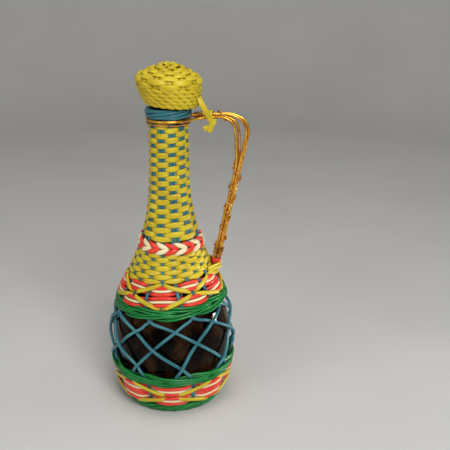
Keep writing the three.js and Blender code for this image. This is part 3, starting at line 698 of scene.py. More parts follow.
def piece(name, strands, material, node, body="bottle", move=None):
    """One object made of strands, that rides on a body and stands for a CAD node."""
    corners = np.vstack([s[0] for s in strands])
    grain = np.vstack([s[2] for s in strands])
    faces = []
    first = 0
    for strand_corners, strand_faces, _ in strands:
        faces.extend([first + k for k in face] for face in strand_faces)
        first += len(strand_corners)
    if move is not None:
        corners = move(corners)
    made = add_mesh(name, (corners + (AXIS_X, 0, 0)) * MILLIMETRE, faces, material)
    made.data.attributes.new("grain", "FLOAT_VECTOR", "POINT").data.foreach_set("vector", grain.ravel())
    if body:
        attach(made, body)
    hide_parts(node)
    return made


def feed(tree, socket, value):
    """Sets a socket to a value, or links another node's output to it."""
    if isinstance(value, bpy.types.NodeSocket):
        tree.links.new(value, socket)
    else:
        socket.default_value = value


def set_inputs(tree, node, **inputs):
    """Feeds a node's inputs. Their names use _ for a space."""
    for name, value in inputs.items():
        feed(tree, node.inputs[name.replace("_", " ")], value)


def add_node(tree, kind, settings=None, **inputs):
    node = tree.nodes.new(kind)
    for name, value in (settings or {}).items():
        setattr(node, name, value)
    set_inputs(tree, node, **inputs)
    return node


def grain_in(tree):
    return add_node(tree, "ShaderNodeAttribute", {"attribute_name": "grain"}).outputs["Vector"]


def place_in(tree):
    return add_node(tree, "ShaderNodeTexCoord").outputs["Object"]


def scaled(tree, vector, scale):
    """A vector with each axis multiplied by its scale."""
    node = add_node(tree, "ShaderNodeVectorMath", {"operation": "MULTIPLY"})
    feed(tree, node.inputs[0], vector)
    feed(tree, node.inputs[1], scale)
    return node.outputs["Vector"]


def noise(tree, vector, scale, detail, roughness=0.55):
    node = add_node(
        tree, "ShaderNodeTexNoise", Vector=scaled(tree, vector, scale), Scale=1.0, Detail=detail,
        Roughness=roughness,
    )
    return node.outputs["Fac"]


def colours(tree, factor, stops):
    """A colour ramp: stops are places and linear colours."""
    node = add_node(tree, "ShaderNodeValToRGB", Fac=factor)
    elements = node.color_ramp.elements
    while len(elements) < len(stops):
        elements.new(0.5)
    for element, (place, colour) in zip(elements, stops):
        element.position = place
        element.color = (*colour, 1)
    return node.outputs["Color"]


def between(tree, value, low, high, start=0.3, end=0.7):
    """A value from start to end, turned into one from low to high."""
    node = add_node(
        tree, "ShaderNodeMapRange", Value=value, From_Min=start, From_Max=end, To_Min=low, To_Max=high,
    )
    return node.outputs["Result"]


def math_node(tree, operation, a, b):
    node = add_node(tree, "ShaderNodeMath", {"operation": operation})
    feed(tree, node.inputs[0], a)
    feed(tree, node.inputs[1], b)
    return node.outputs["Value"]


def multiplied(tree, factor, a, b):
    """Colour a, multiplied by colour b as far as factor says."""
    node = add_node(tree, "ShaderNodeMix", {"data_type": "RGBA", "blend_type": "MULTIPLY"})
    for name, kind, value in (("Factor", "VALUE", factor), ("A", "RGBA", a), ("B", "RGBA", b)):
        feed(tree, next(s for s in node.inputs if s.name == name and s.type == kind), value)
    return next(s for s in node.outputs if s.type == "RGBA")


def new_material(name):
    material = bpy.data.materials.new(name)
    material.use_nodes = True
    return material, material.node_tree, material.node_tree.nodes["Principled BSDF"]


def bump(tree, height, strength, distance):
    return add_node(
        tree, "ShaderNodeBump", Height=height, Strength=strength, Distance=distance,
    ).outputs["Normal"]


def cord_plastic(name, deep, middle, pale, roughness=(0.26, 0.44)):
    """Extruded plastic cord: streaks along it, slow changes of tone, scuffs, and painted shade that darkens
    its colour where cords meet.
    """
    material, tree, shader = new_material(name)
    grain = grain_in(tree)
    streaks = noise(tree, grain, STREAKS, 4.0)
    scuffs = noise(tree, grain, SCUFFS, 5.0, 0.7)
    streak_part = math_node(tree, "MULTIPLY", streaks, STREAK_SHARE)
    slow_part = math_node(tree, "MULTIPLY", noise(tree, place_in(tree), TONES, 2.0), TONE_SHARE)
    tone = math_node(tree, "ADD", streak_part, slow_part)
    paint = colours(tree, tone, [(0.3, deep), (0.5, middle), (0.72, pale)])
    # Painted shade: ambient occlusion darkens the base colour towards a darker tint in hollows where cords
    # meet.
    hollow = add_node(tree, "ShaderNodeAmbientOcclusion", {"samples": 8}, Distance=SHADE_REACH).outputs["AO"]
    painted_shade = between(tree, hollow, SHADE_MOST, 0.0, *SHADE_HOLLOWS)
    least, share = SHADE_TINT
    shade_tint = (*(least + share * c for c in middle), 1)
    fine = math_node(tree, "ADD", streaks, math_node(tree, "MULTIPLY", scuffs, 0.5))
    set_inputs(
        tree, shader, Base_Color=multiplied(tree, painted_shade, paint, shade_tint),
        Roughness=between(tree, scuffs, *roughness), Normal=bump(tree, fine, 0.35, 0.00025), IOR=1.5,
        Specular_IOR_Level=0.28, Coat_Weight=0.06, Coat_Roughness=0.15,
    )
    return material


def wire_metal(name, deep, middle, pale, roughness):
    """Drawn wire: fine lines along it and tarnish in patches."""
    material, tree, shader = new_material(name)
    grain = grain_in(tree)
    tarnish = noise(tree, grain, TARNISH, 5.0, 0.6)
    lines = noise(tree, grain, DRAWN_LINES, 3.0)
    set_inputs(
        tree, shader, Base_Color=colours(tree, tarnish, [(0.33, deep), (0.48, middle), (0.68, pale)]),
        Roughness=between(tree, tarnish, *roughness), Normal=bump(tree, lines, 0.25, 0.0001), Metallic=1.0,
    )
    return material


def dark_glass(name):
    """Dark brown bottle glass, a little uneven from blowing, with a brown film of dust in patches."""
    material, tree, shader = new_material(name)
    place = place_in(tree)
    slow = noise(tree, place, BLOWN_WAVES, 2.0)
    dust = noise(tree, place, DUST, 6.0, 0.65)
    set_inputs(
        tree, shader,
        Base_Color=colours(tree, dust, [(0.42, (0.05, 0.016, 0.004)), (0.66, (0.16, 0.066, 0.025))]),
        Roughness=between(tree, dust, 0.02, 0.14, 0.35, 0.75),
        Transmission_Weight=between(tree, dust, 1.0, 0.62, 0.46, 0.7),
        Normal=bump(tree, slow, 0.12, 0.0012), IOR=1.17, Specular_IOR_Level=0.3,
    )
    return material


def cork_wood(name):
    """Cork: warm brown with darker pores."""
    material, tree, shader = new_material(name)
    place = place_in(tree)
    cells = noise(tree, place, CORK_CELLS, 5.0, 0.65)
    pores = add_node(
        tree, "ShaderNodeTexVoronoi", Vector=scaled(tree, place, CORK_PORES), Scale=1.0,
    ).outputs["Distance"]
    paint = colours(tree, cells, [
        (0.3, (0.20, 0.095, 0.035)), (0.5, (0.40, 0.22, 0.09)), (0.7, (0.52, 0.32, 0.15)),
    ])
    pits = between(tree, pores, 0.9, 0.0, 0.05, 0.3)
    set_inputs(
        tree, shader, Base_Color=multiplied(tree, pits, paint, (0.3, 0.22, 0.16, 1)), Roughness=0.85,
        Normal=bump(tree, math_node(tree, "ADD", cells, pores), 0.5, 0.0006),
    )
    return material


YELLOW = cord_plastic(
    "yellow_cord", (0.37, 0.235, 0.004), (0.57, 0.435, 0.014), (0.74, 0.60, 0.045), (0.32, 0.5),
)
TEAL = cord_plastic(
    "teal_cord", (0.015, 0.09, 0.12), (0.034, 0.165, 0.2), (0.085, 0.28, 0.315), (0.2, 0.36),
)
CORAL = cord_plastic(
    "coral_cord", (0.52, 0.017, 0.009), (0.74, 0.043, 0.022), (0.88, 0.105, 0.062), (0.2, 0.36),
)
CREAM = cord_plastic("cream_cord", (0.62, 0.49, 0.24), (0.78, 0.67, 0.40), (0.88, 0.79, 0.53))
GREEN = cord_plastic(
    "green_cord", (0.003, 0.11, 0.02), (0.006, 0.185, 0.033), (0.016, 0.27, 0.06), (0.18, 0.32),
)
# A darker copy of the yellow cord: painted shade for the gaps between the stopper's stitches.
SHADED_LINING = cord_plastic(
    "stopper_shaded_lining", (0.34, 0.22, 0.004), (0.48, 0.35, 0.008), (0.58, 0.43, 0.015), (0.5, 0.7),
)
GOLD = wire_metal("gold_wire", (0.48, 0.20, 0.022), (0.76, 0.385, 0.05), (0.90, 0.55, 0.11), (0.24, 0.4))
COPPER = wire_metal("copper_wire", (0.26, 0.08, 0.016), (0.58, 0.25, 0.06), (0.82, 0.46, 0.16), (0.22, 0.4))
GLASS = dark_glass("brown_glass")
CORK = cork_wood("cork")
STRIPES = {"coral": CORAL, "cream": CREAM}


def glass_bottle():
    def punt(floor):
        share = np.linspace(0, 1, PUNT_POINTS)
        return np.stack([PUNT_RADIUS * share, floor + PUNT_HEIGHT * (1 - share ** PUNT_BEND)], -1)

    heights = np.arange(GLASS_CURVE[0, 0], LIP_BASE, GLASS_STEP)
    outside = np.stack([glass_radius(heights), heights], -1)
    inner_heights = heights[(heights > INSIDE_BASE) & (heights < BORE_BASE - BORE_BLEND)][::-1]
    inside = np.stack([glass_radius(inner_heights) - GLASS_WALL, inner_heights], -1)
    quarter = np.linspace(0, TURN / 4, EDGE_POINTS)
    edge = LIP_EDGE * np.sin(quarter)
    rest = LIP_EDGE - LIP_EDGE * np.cos(quarter)
    lip = [
        np.stack([LIP_RADIUS - rest[::-1], LIP_BASE + LIP_EDGE - edge[::-1]], -1),
        np.stack([LIP_RADIUS - rest, MOUTH_TOP - LIP_EDGE + edge], -1),
        np.stack([BORE_RADIUS + rest[::-1], MOUTH_TOP - LIP_EDGE + edge[::-1]], -1),
    ]
    bore = [(BORE_RADIUS, BORE_BASE)]
    outline = np.vstack([
        punt(GLASS_BASE), outside, *lip, bore, inside, punt(GLASS_BASE + FLOOR_WALL)[::-1],
    ])
    piece("glass_bottle_blown", [lathe(outline, GLASS_SIDES)], GLASS, "glass_bottle")


def pair_half(height):
    """Half the even angle between the two legs of a pair, at a height above the net."""
    close = STAKE_PITCH / 2 / (glass_radius(height) + STAKE_OUT)
    return mix(CORD_STEP / 2, close, ramp(SPLIT_TOP, PAIR_BASE, height))


def net_shift(even, share):
    """How far a left-running cord lies from its even place, at a share of the net's height."""
    start, end = NET_SHIFT_FULL
    fade = ramp(0, start, share) * ramp(NET_SHIFT_END, end, share)
    return NET_SHIFT * math.cos(2 * (even + NET_SHIFT_PLACE)) * fade


def net_travel(even, side, share):
    """How far round a leg has run at a share of the net's height."""
    bowed = share ** NET_BOW
    if side < 0:
        return NET_RIGHT_TRAVEL * bowed
    return net_shift(even, share) - NET_LEFT_TRAVEL * bowed


def crossing_share(left_even, pairs_before):
    """The share of the net's height where a left-running cord meets an earlier pair's right-running one."""
    def share_for(shift):
        return ((pairs_before * PAIR_STEP + shift) / (NET_RIGHT_TRAVEL + NET_LEFT_TRAVEL)) ** (1 / NET_BOW)

    return share_for(net_shift(left_even, share_for(0)))


def base_travel(even, side, height):
    """Below the net the legs drift to an even spacing."""
    even_end = BASE_BAND_PHASE - FIRST_PAIR + (CORD_STEP if side < 0 else -3 * PAIR_STEP)
    return mix(even_end, net_travel(even, side, NET_END), ramp(EVEN_HEIGHT, BASE_TOP, height))


def upright_leg(even, side):
    """Angle, height, way out, half width and half thickness down one leg of a pair."""
    above = np.arange(STAKE_TOP, GATHER_BASE, -STAKE_STEP)
    share = np.linspace(0, NET_END, NET_POINTS)
    below = np.arange(BASE_TOP, STAKE_BASE, -STAKE_STEP)
    crossings = [
        crossing_share(even + k * PAIR_STEP if side < 0 else even, k) for k in range(NET_CROSSINGS)
    ]
    crossing = np.interp(share, crossings, range(NET_CROSSINGS))
    reach = (NET_OVER - NET_UNDER) / 2 * ramp(NET_END, crossings[-1], share)
    net_out = (NET_OVER + NET_UNDER) / 2 - side * reach * np.cos(crossing * math.pi)
    travel = side * pair_half(above) * ramp(GATHER_BASE, GATHER_TOP, above)
    even_angle = even + np.concatenate([
        travel, net_travel(even, side, share), base_travel(even, side, below),
    ])
    height = np.concatenate([above, mix(NET_TOP, NET_BASE, share), below])
    out = np.concatenate([np.full(len(above), STAKE_OUT), net_out, np.full(len(below), STAKE_OUT)])
    way = [smoothed(values, WAY_REACH) for values in (hand_angle(even_angle, height), height, out)]
    in_net = np.concatenate([np.zeros(len(above)), np.ones(len(share)), np.zeros(len(below))])
    roundness = smoothed(in_net, ROUND_REACH)
    half_width = mix(STAKE_WIDTH, NET_CORD, roundness) / 2
    half_thickness = mix(STAKE_THICKNESS, NET_CORD, roundness) / 2
    return np.stack([*way, half_width, half_thickness])


def upright_cords():
    turn = np.linspace(-BEND_DEGREES, BEND_DEGREES, BEND_POINTS) * DEGREE
    bend_height = STAKE_TOP + STAKE_PITCH / 2 * np.cos(turn)
    for pair in range(PAIRS):
        even = FIRST_PAIR + pair * PAIR_STEP
        bend_angle = hand_angle(even + pair_half(STAKE_TOP) * np.sin(turn), bend_height)
        bend = np.stack(np.broadcast_arrays(
            bend_angle, bend_height, STAKE_OUT, STAKE_WIDTH / 2, STAKE_THICKNESS / 2,
        ))
        way = np.hstack([upright_leg(even, -1)[:, ::-1], bend, upright_leg(even, 1)])
        angle, height, out, half_width, half_thickness = way
        centres, outward = on_bottle(angle, height, out)
        made = strand(centres, outward, half_width, half_thickness, sides=10, square=STAKE_SQUARE)
        number = f"{pair + 1:02d}"
        piece(f"teal_upright_{number}", [made], TEAL, f"stake_pair_{number}")


def weaver(part, number, step, angle, height, row, swell, behind, softness, seed):
    """A flat cord that is behind at even steps and in front at odd ones, fuller where it is in front."""
    turn = (step + 1) * math.pi
    uneven = wobble(step, seed)
    out = STAKE_OUT + WEAVE * weave_wave(turn, behind, softness) + WEAVER_UNEVEN["out"] * uneven
    half_height = row / 2 + swell * np.cos(turn) + WEAVER_UNEVEN["half"] * uneven
    level = height + WEAVER_UNEVEN["height"] * wobble(step, seed + 3)
    centres, outward = on_bottle(hand_angle(angle, height), level, out)
    made = strand(centres, outward, half_height, WEAVER_THICKNESS / 2, square=WEAVER_SQUARE)
    piece(f"yellow_{part}_row_{number}", [made], YELLOW, f"{part}_weaver_{number}")


def neck_weavers():
    rise = 2 * NECK_ROW / PAIRS
    for number, (start, first, last) in enumerate(NECK_RUNS, 1):
        step = np.linspace(first, last, (last - first) * STEP_POINTS)
        angle = FIRST_PAIR + (start + step) * PAIR_STEP
        height = NECK_WEAVE_BASE + rise * (step + NECK_AHEAD)
        kept = np.clip(height, NECK_WEAVE_LOW, NECK_WEAVE_TOP)
        row = NECK_ROW + NECK_OVERLAP - NECK_TAPER * np.abs(height - kept)
        weaver("neck", number, step, angle, kept, row, NECK_SWELL, NECK_BEHIND, NECK_SOFTNESS, number)


def shoulder_weavers():
    rise = 2 * SHOULDER_ROW / CORDS
    row = SHOULDER_ROW + SHOULDER_OVERLAP
    for ahead, (start, first, last) in enumerate(SHOULDER_RUNS):
        number = ahead + 1
        step = np.linspace(first, last, (last - first) * STEP_POINTS)
        angle = FIRST_PAIR + (start + step - 0.5) * CORD_STEP
        height = np.minimum(SHOULDER_WEAVE_BASE + rise * (step + ahead), SHOULDER_WEAVE_TOP)
        weaver(
            "shoulder", number, step, angle, height, row, SHOULDER_SWELL, SHOULDER_BEHIND, SHOULDER_SOFTNESS,
            number + SHOULDER_SEED,
        )


def braid():
    """Two rows of coral and cream, each cord in front of every other upright cord, with opposite slants."""
    step = np.arange(0, CORDS, 1 / BRAID_POINTS)
    for row, side in (("upper", 1), ("lower", -1)):
        for phase, (colour, material) in enumerate(STRIPES.items()):
            turn = (step + phase) * math.pi
            wave = weave_wave(turn, BRAID_BEHIND)
            uneven = BRAID_UNEVEN * ring_wobble(step * CORD_STEP, 2 * phase + side)
            height = climb(BRAID_HEIGHT, side * (BRAID_ROW - BRAID_RISE * slant(turn)) + uneven)
            angle = hand_angle(FIRST_PAIR + (step - 0.5) * CORD_STEP, height)
            out = STAKE_OUT + BRAID_OUT + BRAID_WEAVE * wave + BRAID_BULGE * np.cos(turn)
            centres, outward = on_bottle(angle, height, out)
            half_width = BRAID_CORD / 2 * (BRAID_SLIM + BRAID_SWELL * np.cos(turn))
            half_thickness = BRAID_THICKNESS / 2 + BRAID_FULLER * wave
            made = strand(centres, outward, half_width, half_thickness, closed=True, square=BRAID_SQUARE)
            piece(f"{colour}_braid_{row}", [made], material, f"braid_{colour}_{row}")


def crossing_cord(node, side, middle, row, cord, even):
    """A flat yellow cord that runs to and fro over one group of stripes."""
    way = np.abs((cord + 2) % 4 - 2)
    outer = len(STRIPE_COLOURS) * row + CROSS_WIDTH / 2 - CROSS_OVERLAP
    distance = mix(CROSS_INNER, outer, ramp(*CROSS_RUN, way)) + CROSS_UNEVEN * ring_wobble(even, side)
    height = climb(middle, side * smoothed(distance, CROSS_REACH["height"], closed=True))
    dive = np.interp(way, *np.transpose(CROSS_DIVE))
    out = STAKE_OUT + smoothed(dive, CROSS_REACH["out"], closed=True)
    half_width = CROSS_WIDTH / 2 * mix(CROSS_NARROW, 1, ramp(0, CROSS_FULL_WAY, way))
    centres, outward = on_bottle(hand_angle(even, height), height, out)
    made = strand(centres, outward, half_width, CROSS_THICKNESS / 2, closed=True, square=CROSS_SQUARE)
    piece(f"yellow_{node}", [made], YELLOW, node)


def striped_band(name, middle, row, part, first):
    """Two groups of three cords that part at every fourth upright cord, and a yellow cord over each group."""
    cord = np.arange(0, CORDS, 1 / STEP_POINTS)
    even = first + cord * CORD_STEP
    parted = (1 + np.cos(cord * math.pi / 2)) / 2
    wave = weave_wave(cord * math.pi, STRIPE_BEHIND)
    woven = STAKE_OUT + STRIPE_OUT + STRIPE_WEAVE * wave + STRIPE_BULGE * np.cos(cord * math.pi)
    for group, side in (("upper", 1), ("lower", -1)):
        for stripe, colour in enumerate(STRIPE_COLOURS):
            uneven = ring_wobble(even, stripe + 4 * side)
            distance = (stripe + 0.5) * row + part * parted + STRIPE_UNEVEN["height"] * uneven
            height = climb(middle, side * distance)
            out = woven + STRIPE_UNEVEN["out"] * uneven
            centres, outward = on_bottle(hand_angle(even, height), height, out)
            fullness = STRIPE_FULLNESS[colour]
            half_thickness = STRIPE_THICKNESS / 2 * fullness
            made = strand(
                centres, outward, fullness * row / 2, half_thickness, closed=True, square=STRIPE_SQUARE,
            )
            node = f"{name}_{group}_{stripe + 1}"
            piece(f"{colour}_{node}", [made], STRIPES[colour], node)
        crossing_cord(f"{name}_cross_{group}", side, middle, row, cord, even)


def green_ring(name, middle, row, first):
    """Two rows of doubled cords twined round the pairs of upright cords, with opposite slants."""
    step = np.arange(0, PAIRS, 1 / RING_POINTS)
    for number, side in ((1, 1), (2, -1)):
        strands = []
        for phase in (0, 1):
            for lane in (-1, 1):
                turn = (step + phase) * math.pi
                uneven = ring_wobble(step * PAIR_STEP, 3 * phase + lane + 7 * side)
                rise = lane * RING_CORD * RING_LANE - RING_RISE * slant(turn)
                height = climb(middle, side * (row + rise) + RING_UNEVEN["height"] * uneven)
                angle = hand_angle(first + step * PAIR_STEP, height)
                out = STAKE_OUT + RING_WEAVE * weave_wave(turn, RING_BEHIND) + RING_UNEVEN["out"] * uneven
                centres, outward = on_bottle(angle, height, out)
                strands.append(strand(centres, outward, RING_CORD / 2, RING_THICKNESS / 2, closed=True))
        piece(f"green_{name}_{number}", strands, GREEN, f"{name}_{number}")


def base_ring():
    """A rope of green cords round the heel, and flat turns of cord under it."""
    strands = []
    angle = np.arange(360) * DEGREE
    for cord in range(BASE_RING_CORDS):
        turn = BASE_RING_TURNS * angle + cord * TURN / BASE_RING_CORDS
        lift = BASE_RING_LIFT * np.sin(turn)
        radius = BASE_RING_RADIUS + BASE_RING_LEAN * lift + BASE_RING_DEPTH * np.cos(turn)
        centres = round_axis(angle, radius, BASE_RING_HEIGHT + lift)
        outward = round_axis(angle, 1, 0)
        strands.append(strand(centres, outward, *BASE_RING_HALF, closed=True, sides=BASE_RING_SIDES))
    upward = np.tile((0.0, 0.0, 1.0), (len(angle), 1))
    for radius in UNDER_RADII:
        centres = round_axis(angle, radius, UNDER_HEIGHT + UNDER_UNEVEN * ring_wobble(angle, radius))
        strands.append(strand(centres, upward, *UNDER_HALF, closed=True, sides=BASE_RING_SIDES))
    piece("green_base_ring", strands, GREEN, "base_ring")


def mouth_border():
    """Three doubled cords twisted together round the mouth, in a rope that is taller than it is thick."""
    angle = around(BORDER_POINTS)
    outward = round_axis(angle, 1, 0)
    for cord in range(BORDER_CORDS):
        strands = []
        for lane in (-1, 1):
            turn = BORDER_TURNS * angle + cord * TURN / BORDER_CORDS + lane * BORDER_LANE
            uneven = ring_wobble(angle, 2 * cord + lane)
            radius = BORDER_RADIUS + BORDER_DEPTH * np.cos(turn) + BORDER_UNEVEN["out"] * uneven
            height = BORDER_HEIGHT + BORDER_RISE * np.sin(turn) + BORDER_UNEVEN["height"] * uneven
            centres = round_axis(angle, radius, height)
            strands.append(strand(centres, outward, BORDER_WIDTH / 2, BORDER_THICKNESS / 2, closed=True))
        node = f"mouth_border_{cord + 1}"
        piece(f"teal_{node}", strands, TEAL, node)


def collar():
    half = COLLAR_WIRE / 2
    angle = around(COLLAR_POINTS)
    centres = round_axis(angle, COLLAR_RADIUS, COLLAR_HEIGHT)
    ring = strand(centres, round_axis(angle, 1, 0), half, half, closed=True, sides=COLLAR_SIDES)
    piece("gold_collar", [ring], GOLD, "collar_wire")
    angle = around(LASHING_POINTS)
    centres = round_axis(angle, COLLAR_RADIUS + LASHING_OUT, LASHING_HEIGHT)
    lashing = twisted(centres, round_axis(angle, 1, 0), LASHING_SHARE, LASHING_PITCH, closed=True)
    piece("copper_lashing", lashing, COPPER, "collar_lashing")


def guide(points):
    return smooth_curve([(out, 0, height) for out, height in points], GUIDE_POINTS)


OUTER_GUIDE = guide(OUTER_WIRE)
INNER_GUIDE = guide(INNER_WIRE)
SIDEWAYS = np.array((0.0, 1.0, 0.0))


def handle_frame(share):
    """Middle and inner line of the handle at shares of its length, and the ways along and in from it."""
    place = np.linspace(0, 1, GUIDE_POINTS)

    def at(line):
        return np.stack([np.interp(share, place, column) for column in line.T], -1)

    inner = at(INNER_GUIDE)
    along = unit(at(np.gradient(INNER_GUIDE, axis=0)))
    inward = unit(np.cross(SIDEWAYS, along))
    return (at(OUTER_GUIDE) + inner) / 2, inner, along, inward


def wire_fan(level, height):
    """How far the front and back wires lie from their middle line. They spread at the handle's corner."""
    return mix(WIRE_FAN, WIRE_FAN_TOP[level], ramp(*WIRE_FAN_HEIGHTS, height))


def collar_start(side):
    """The way of an inner wire along the collar and off it."""
    radius = COLLAR_RADIUS + HANDLE_WIRE
    held = [
        (radius * math.sin(a), side * radius * math.cos(a), COLLAR_HEIGHT)
        for a in (COLLAR_HOLD, COLLAR_LEAVE)
    ]
    clear = COLLAR_CLEAR
    return [*held, (clear["out"], side * clear["side"], COLLAR_HEIGHT + clear["above"])]


def handle_wires():
    """The outer wires run straight to the mouth; the inner ones leave the collar's sides."""
    for level, points in (("outer", OUTER_WIRE), ("inner", INNER_WIRE)):
        for place, side in (("front", -1), ("back", 1)):
            line = [
                (out + side * wire_fan(level, height), side * WIRE_SIDE, height) for out, height in points
            ]
            if level == "inner":
                line = [*collar_start(side), *line[1:]]
            centres = smooth_curve(line, WIRE_POINTS)
            share = np.linspace(0, 1, WIRE_POINTS)
            centres[:, 1] += WIRE_UNEVEN * wobble(share * WIRE_WAVES, side + len(level))
            outward = np.tile(SIDEWAYS * side, (WIRE_POINTS, 1)) + WIRE_TILT
            made = strand(centres, outward, HANDLE_WIRE / 2, HANDLE_WIRE / 2)
            node = f"handle_wire_{level}_{place}"
            piece(f"gold_{node}", [made], GOLD, node)


def handle_binding():
    """The thin twisted wire: turns round all four wires, and a run along the inside of the corner."""
    places, turns = np.array(BINDING_TURNS).T
    start, end = places[2:4]
    share = np.linspace(places[0], places[-1], BINDING_POINTS)
    middle, inner, _, inward = handle_frame(share)
    corner = ramp(start, start + BINDING_BLEND, share) * ramp(end, end - BINDING_BLEND, share)
    corner = corner[:, None]
    loose = BINDING_LOOSE * np.exp(-((share - BINDING_LOOSE_SHARE) / BINDING_BLEND) ** 2)
    spread = np.linalg.norm(middle - inner, axis=1)[:, None] * (1 - corner) + loose[:, None]
    strands = []
    for way, first in ((1, places[0]), (-1, end)):
        turn = (way * np.interp(share, places, turns) * TURN)[:, None]
        uneven = BINDING_UNEVEN * wobble(share * BINDING_WAVES, 2 + way)[:, None]
        deep = (spread + BINDING_REACH + uneven) * np.cos(turn)
        centres = mix(middle, inner, corner) + deep * inward + BINDING_SIDE * np.sin(turn) * SIDEWAYS
        outward = np.cos(turn) * inward + np.sin(turn) * SIDEWAYS
        used = share >= first
        strands += twisted(centres[used], outward[used], BINDING_SHARE, BINDING_PITCH)
    piece("copper_binding", strands, COPPER, "handle_binding")


def handle_points(share, steps):
    """Points given as [along, sideways, inward] from the handle's middle at a share of its length."""
    middle, _, along, inward = (v[0] for v in handle_frame(np.array([share])))
    return np.array([middle + a * along + s * SIDEWAYS + i * inward for a, s, i in steps])


def tether_knot():
    centre = handle_points(KNOT_SHARE, [KNOT_CENTRE])[0]
    hanging = ramp(*KNOT_HANG, np.linspace(0, 1, TIE_POINTS))[:, None]
    knot = []
    for steps, front in ((KNOT_WRAP, hanging), (KNOT_LOW_END, 1.0), (KNOT_SIDE_END, 1.0)):
        line = smooth_curve(handle_points(KNOT_SHARE, steps), TIE_POINTS)
        outward = unit(mix(unit(line - centre), -SIDEWAYS, front))
        knot.append(strand(line, outward, TIE_WIDTH / 2, TIE_THICKNESS / 2, square=TIE_SQUARE))
    piece("yellow_tether_knot", knot, YELLOW, "tether_knot")


def foot_tie():
    middle, _, _, inward = handle_frame(np.linspace(*FOOT_TIE_SHARES, FOOT_TIE_POINTS))
    turn = (np.linspace(*FOOT_TIE_TURNS, FOOT_TIE_POINTS) * TURN)[:, None]
    outward = np.cos(turn) * inward + np.sin(turn) * SIDEWAYS
    tie = strand(middle + outward * FOOT_TIE_RADIUS, outward, *FOOT_TIE_HALF, square=TIE_SQUARE)
    piece("coral_foot_tie", [tie], CORAL, "foot_tie")


def foot_wrap():
    way = [*FOOT_WRAP, *[(x, -y) for x, y in FOOT_WRAP[::-1]]]
    strands = []
    for level, spread in FOOT_WRAP_ROWS:
        points = smooth_curve([(x + spread, y, FOOT_WRAP_HEIGHT + level) for x, y in way], TIE_POINTS)
        outward = unit((points - (FOOT_WRAP_CENTRE, 0, 0)) * (1, 1, 0))
        strands.append(strand(points, outward, *FOOT_WRAP_HALF, square=TIE_SQUARE))
    piece("yellow_foot_wrap", strands, YELLOW, "foot_wrap")


STOPPER_LINE = smooth_curve(STOPPER_CURVE, STOPPER_POINTS)
STOPPER_LENGTH = np.linalg.norm(np.diff(STOPPER_LINE, axis=0), axis=1).sum()


def tilted(points):
    """The stopper leans a little towards the handle."""
    x, y, z = points.T
    z = z - STOPPER_BASE
    cosine = math.cos(STOPPER_TILT)
    sine = math.sin(STOPPER_TILT)
    return np.stack([x * cosine + z * sine, y, z * cosine - x * sine + STOPPER_BASE], -1)


def on_stopper(angle, distance, out):
    """Points off the stopper's curve at angles and distances up from the rim, and the ways out there."""
    place = np.linspace(0, STOPPER_LENGTH, len(STOPPER_LINE))
    radius, height = (np.interp(distance, place, column) for column in STOPPER_LINE.T)
    along = unit(np.gradient(STOPPER_LINE, axis=0))
    radial, rise = (np.interp(distance, place, column) for column in along.T)
    outward = round_axis(angle, rise, -radial)
    uneven = ramp(STOPPER_EVEN_HEIGHT, 0, height)
    pushed = np.stack([STOPPER_PUSH * uneven, 0 * angle, -STOPPER_HANG * uneven * np.sin(angle)], -1)
    return round_axis(angle, radius, STOPPER_BASE + height) + pushed + outward * out[:, None], outward


def stitched(centres, outward, half_width, thickness, square):
    """One closed cord of the stopper's cover."""
    return strand(centres, outward, half_width, thickness / 2, True, STOPPER_SIDES, square)


def cover(name, strands, material=YELLOW):
    """One of the pieces that make up the stopper's cover."""
    piece(name, strands, material, "stopper_cover", "stopper", tilted)


def stopper_side():
    """Twined rows of two cords up the side, each half a stitch further round than the last."""
    rows = []
    step = np.arange(0, SIDE_STITCHES, 1 / STEP_POINTS)
    angle = step * TURN / SIDE_STITCHES
    for row in range(SIDE_ROWS):
        for phase in (0, 1):
            turn = (step + phase) * math.pi
            uneven = SIDE_UNEVEN * ring_wobble(angle, 5 * row + phase)
            distance = SIDE_BASE + row * SIDE_ROW - SIDE_RISE * slant(turn) + uneven
            out = SIDE_WEAVE * weave_wave(turn, SIDE_BEHIND) + SIDE_BULGE * np.cos(turn) - SIDE_SINK
            centres, outward = on_stopper(angle + 0.5 * row * TURN / SIDE_STITCHES, distance, out)
            half_width = SIDE_CORD / 2 + SIDE_SWELL * np.cos(turn)
            rows.append(stitched(centres, outward, half_width, SIDE_THICKNESS, SIDE_SQUARE))
    cover("yellow_stopper_side", rows)


def stopper_top():
    """Rows of one cord over and under the stakes, longer stitches near the middle."""
    rows = []
    start = SIDE_BASE + (SIDE_ROWS - 1) * SIDE_ROW + (SIDE_ROW + TOP_ROW) / 2
    for row in range(int((STOPPER_LENGTH - start) / TOP_ROW) + 1):
        middle = start + row * TOP_ROW
        stakes = STOPPER_STAKES if middle < STOPPER_LENGTH - TOP_SPARSE else STOPPER_STAKES // 2
        step = np.arange(0, stakes, STOPPER_STAKES / stakes / STEP_POINTS)
        angle = STOPPER_FIRST + step * TURN / stakes
        turn = (step + row) * math.pi
        wave = weave_wave(turn, TOP_BEHIND, TOP_SOFTNESS)
        uneven = ring_wobble(angle, 3 * row + 1)
        distance = np.minimum(middle + TOP_UNEVEN["height"] * uneven, STOPPER_LENGTH - TOP_END)
        out = wave + TOP_BULGE * np.cos(turn) - TOP_SINK + TOP_UNEVEN["out"] * uneven
        centres, outward = on_stopper(angle, distance, out)
        half_width = TOP_ROW / 2 + TOP_OVERLAP + TOP_SWELL * np.cos(turn)
        rows.append(stitched(centres, outward, half_width, TOP_THICKNESS, TOP_SQUARE))
    cover("yellow_stopper_top", rows)


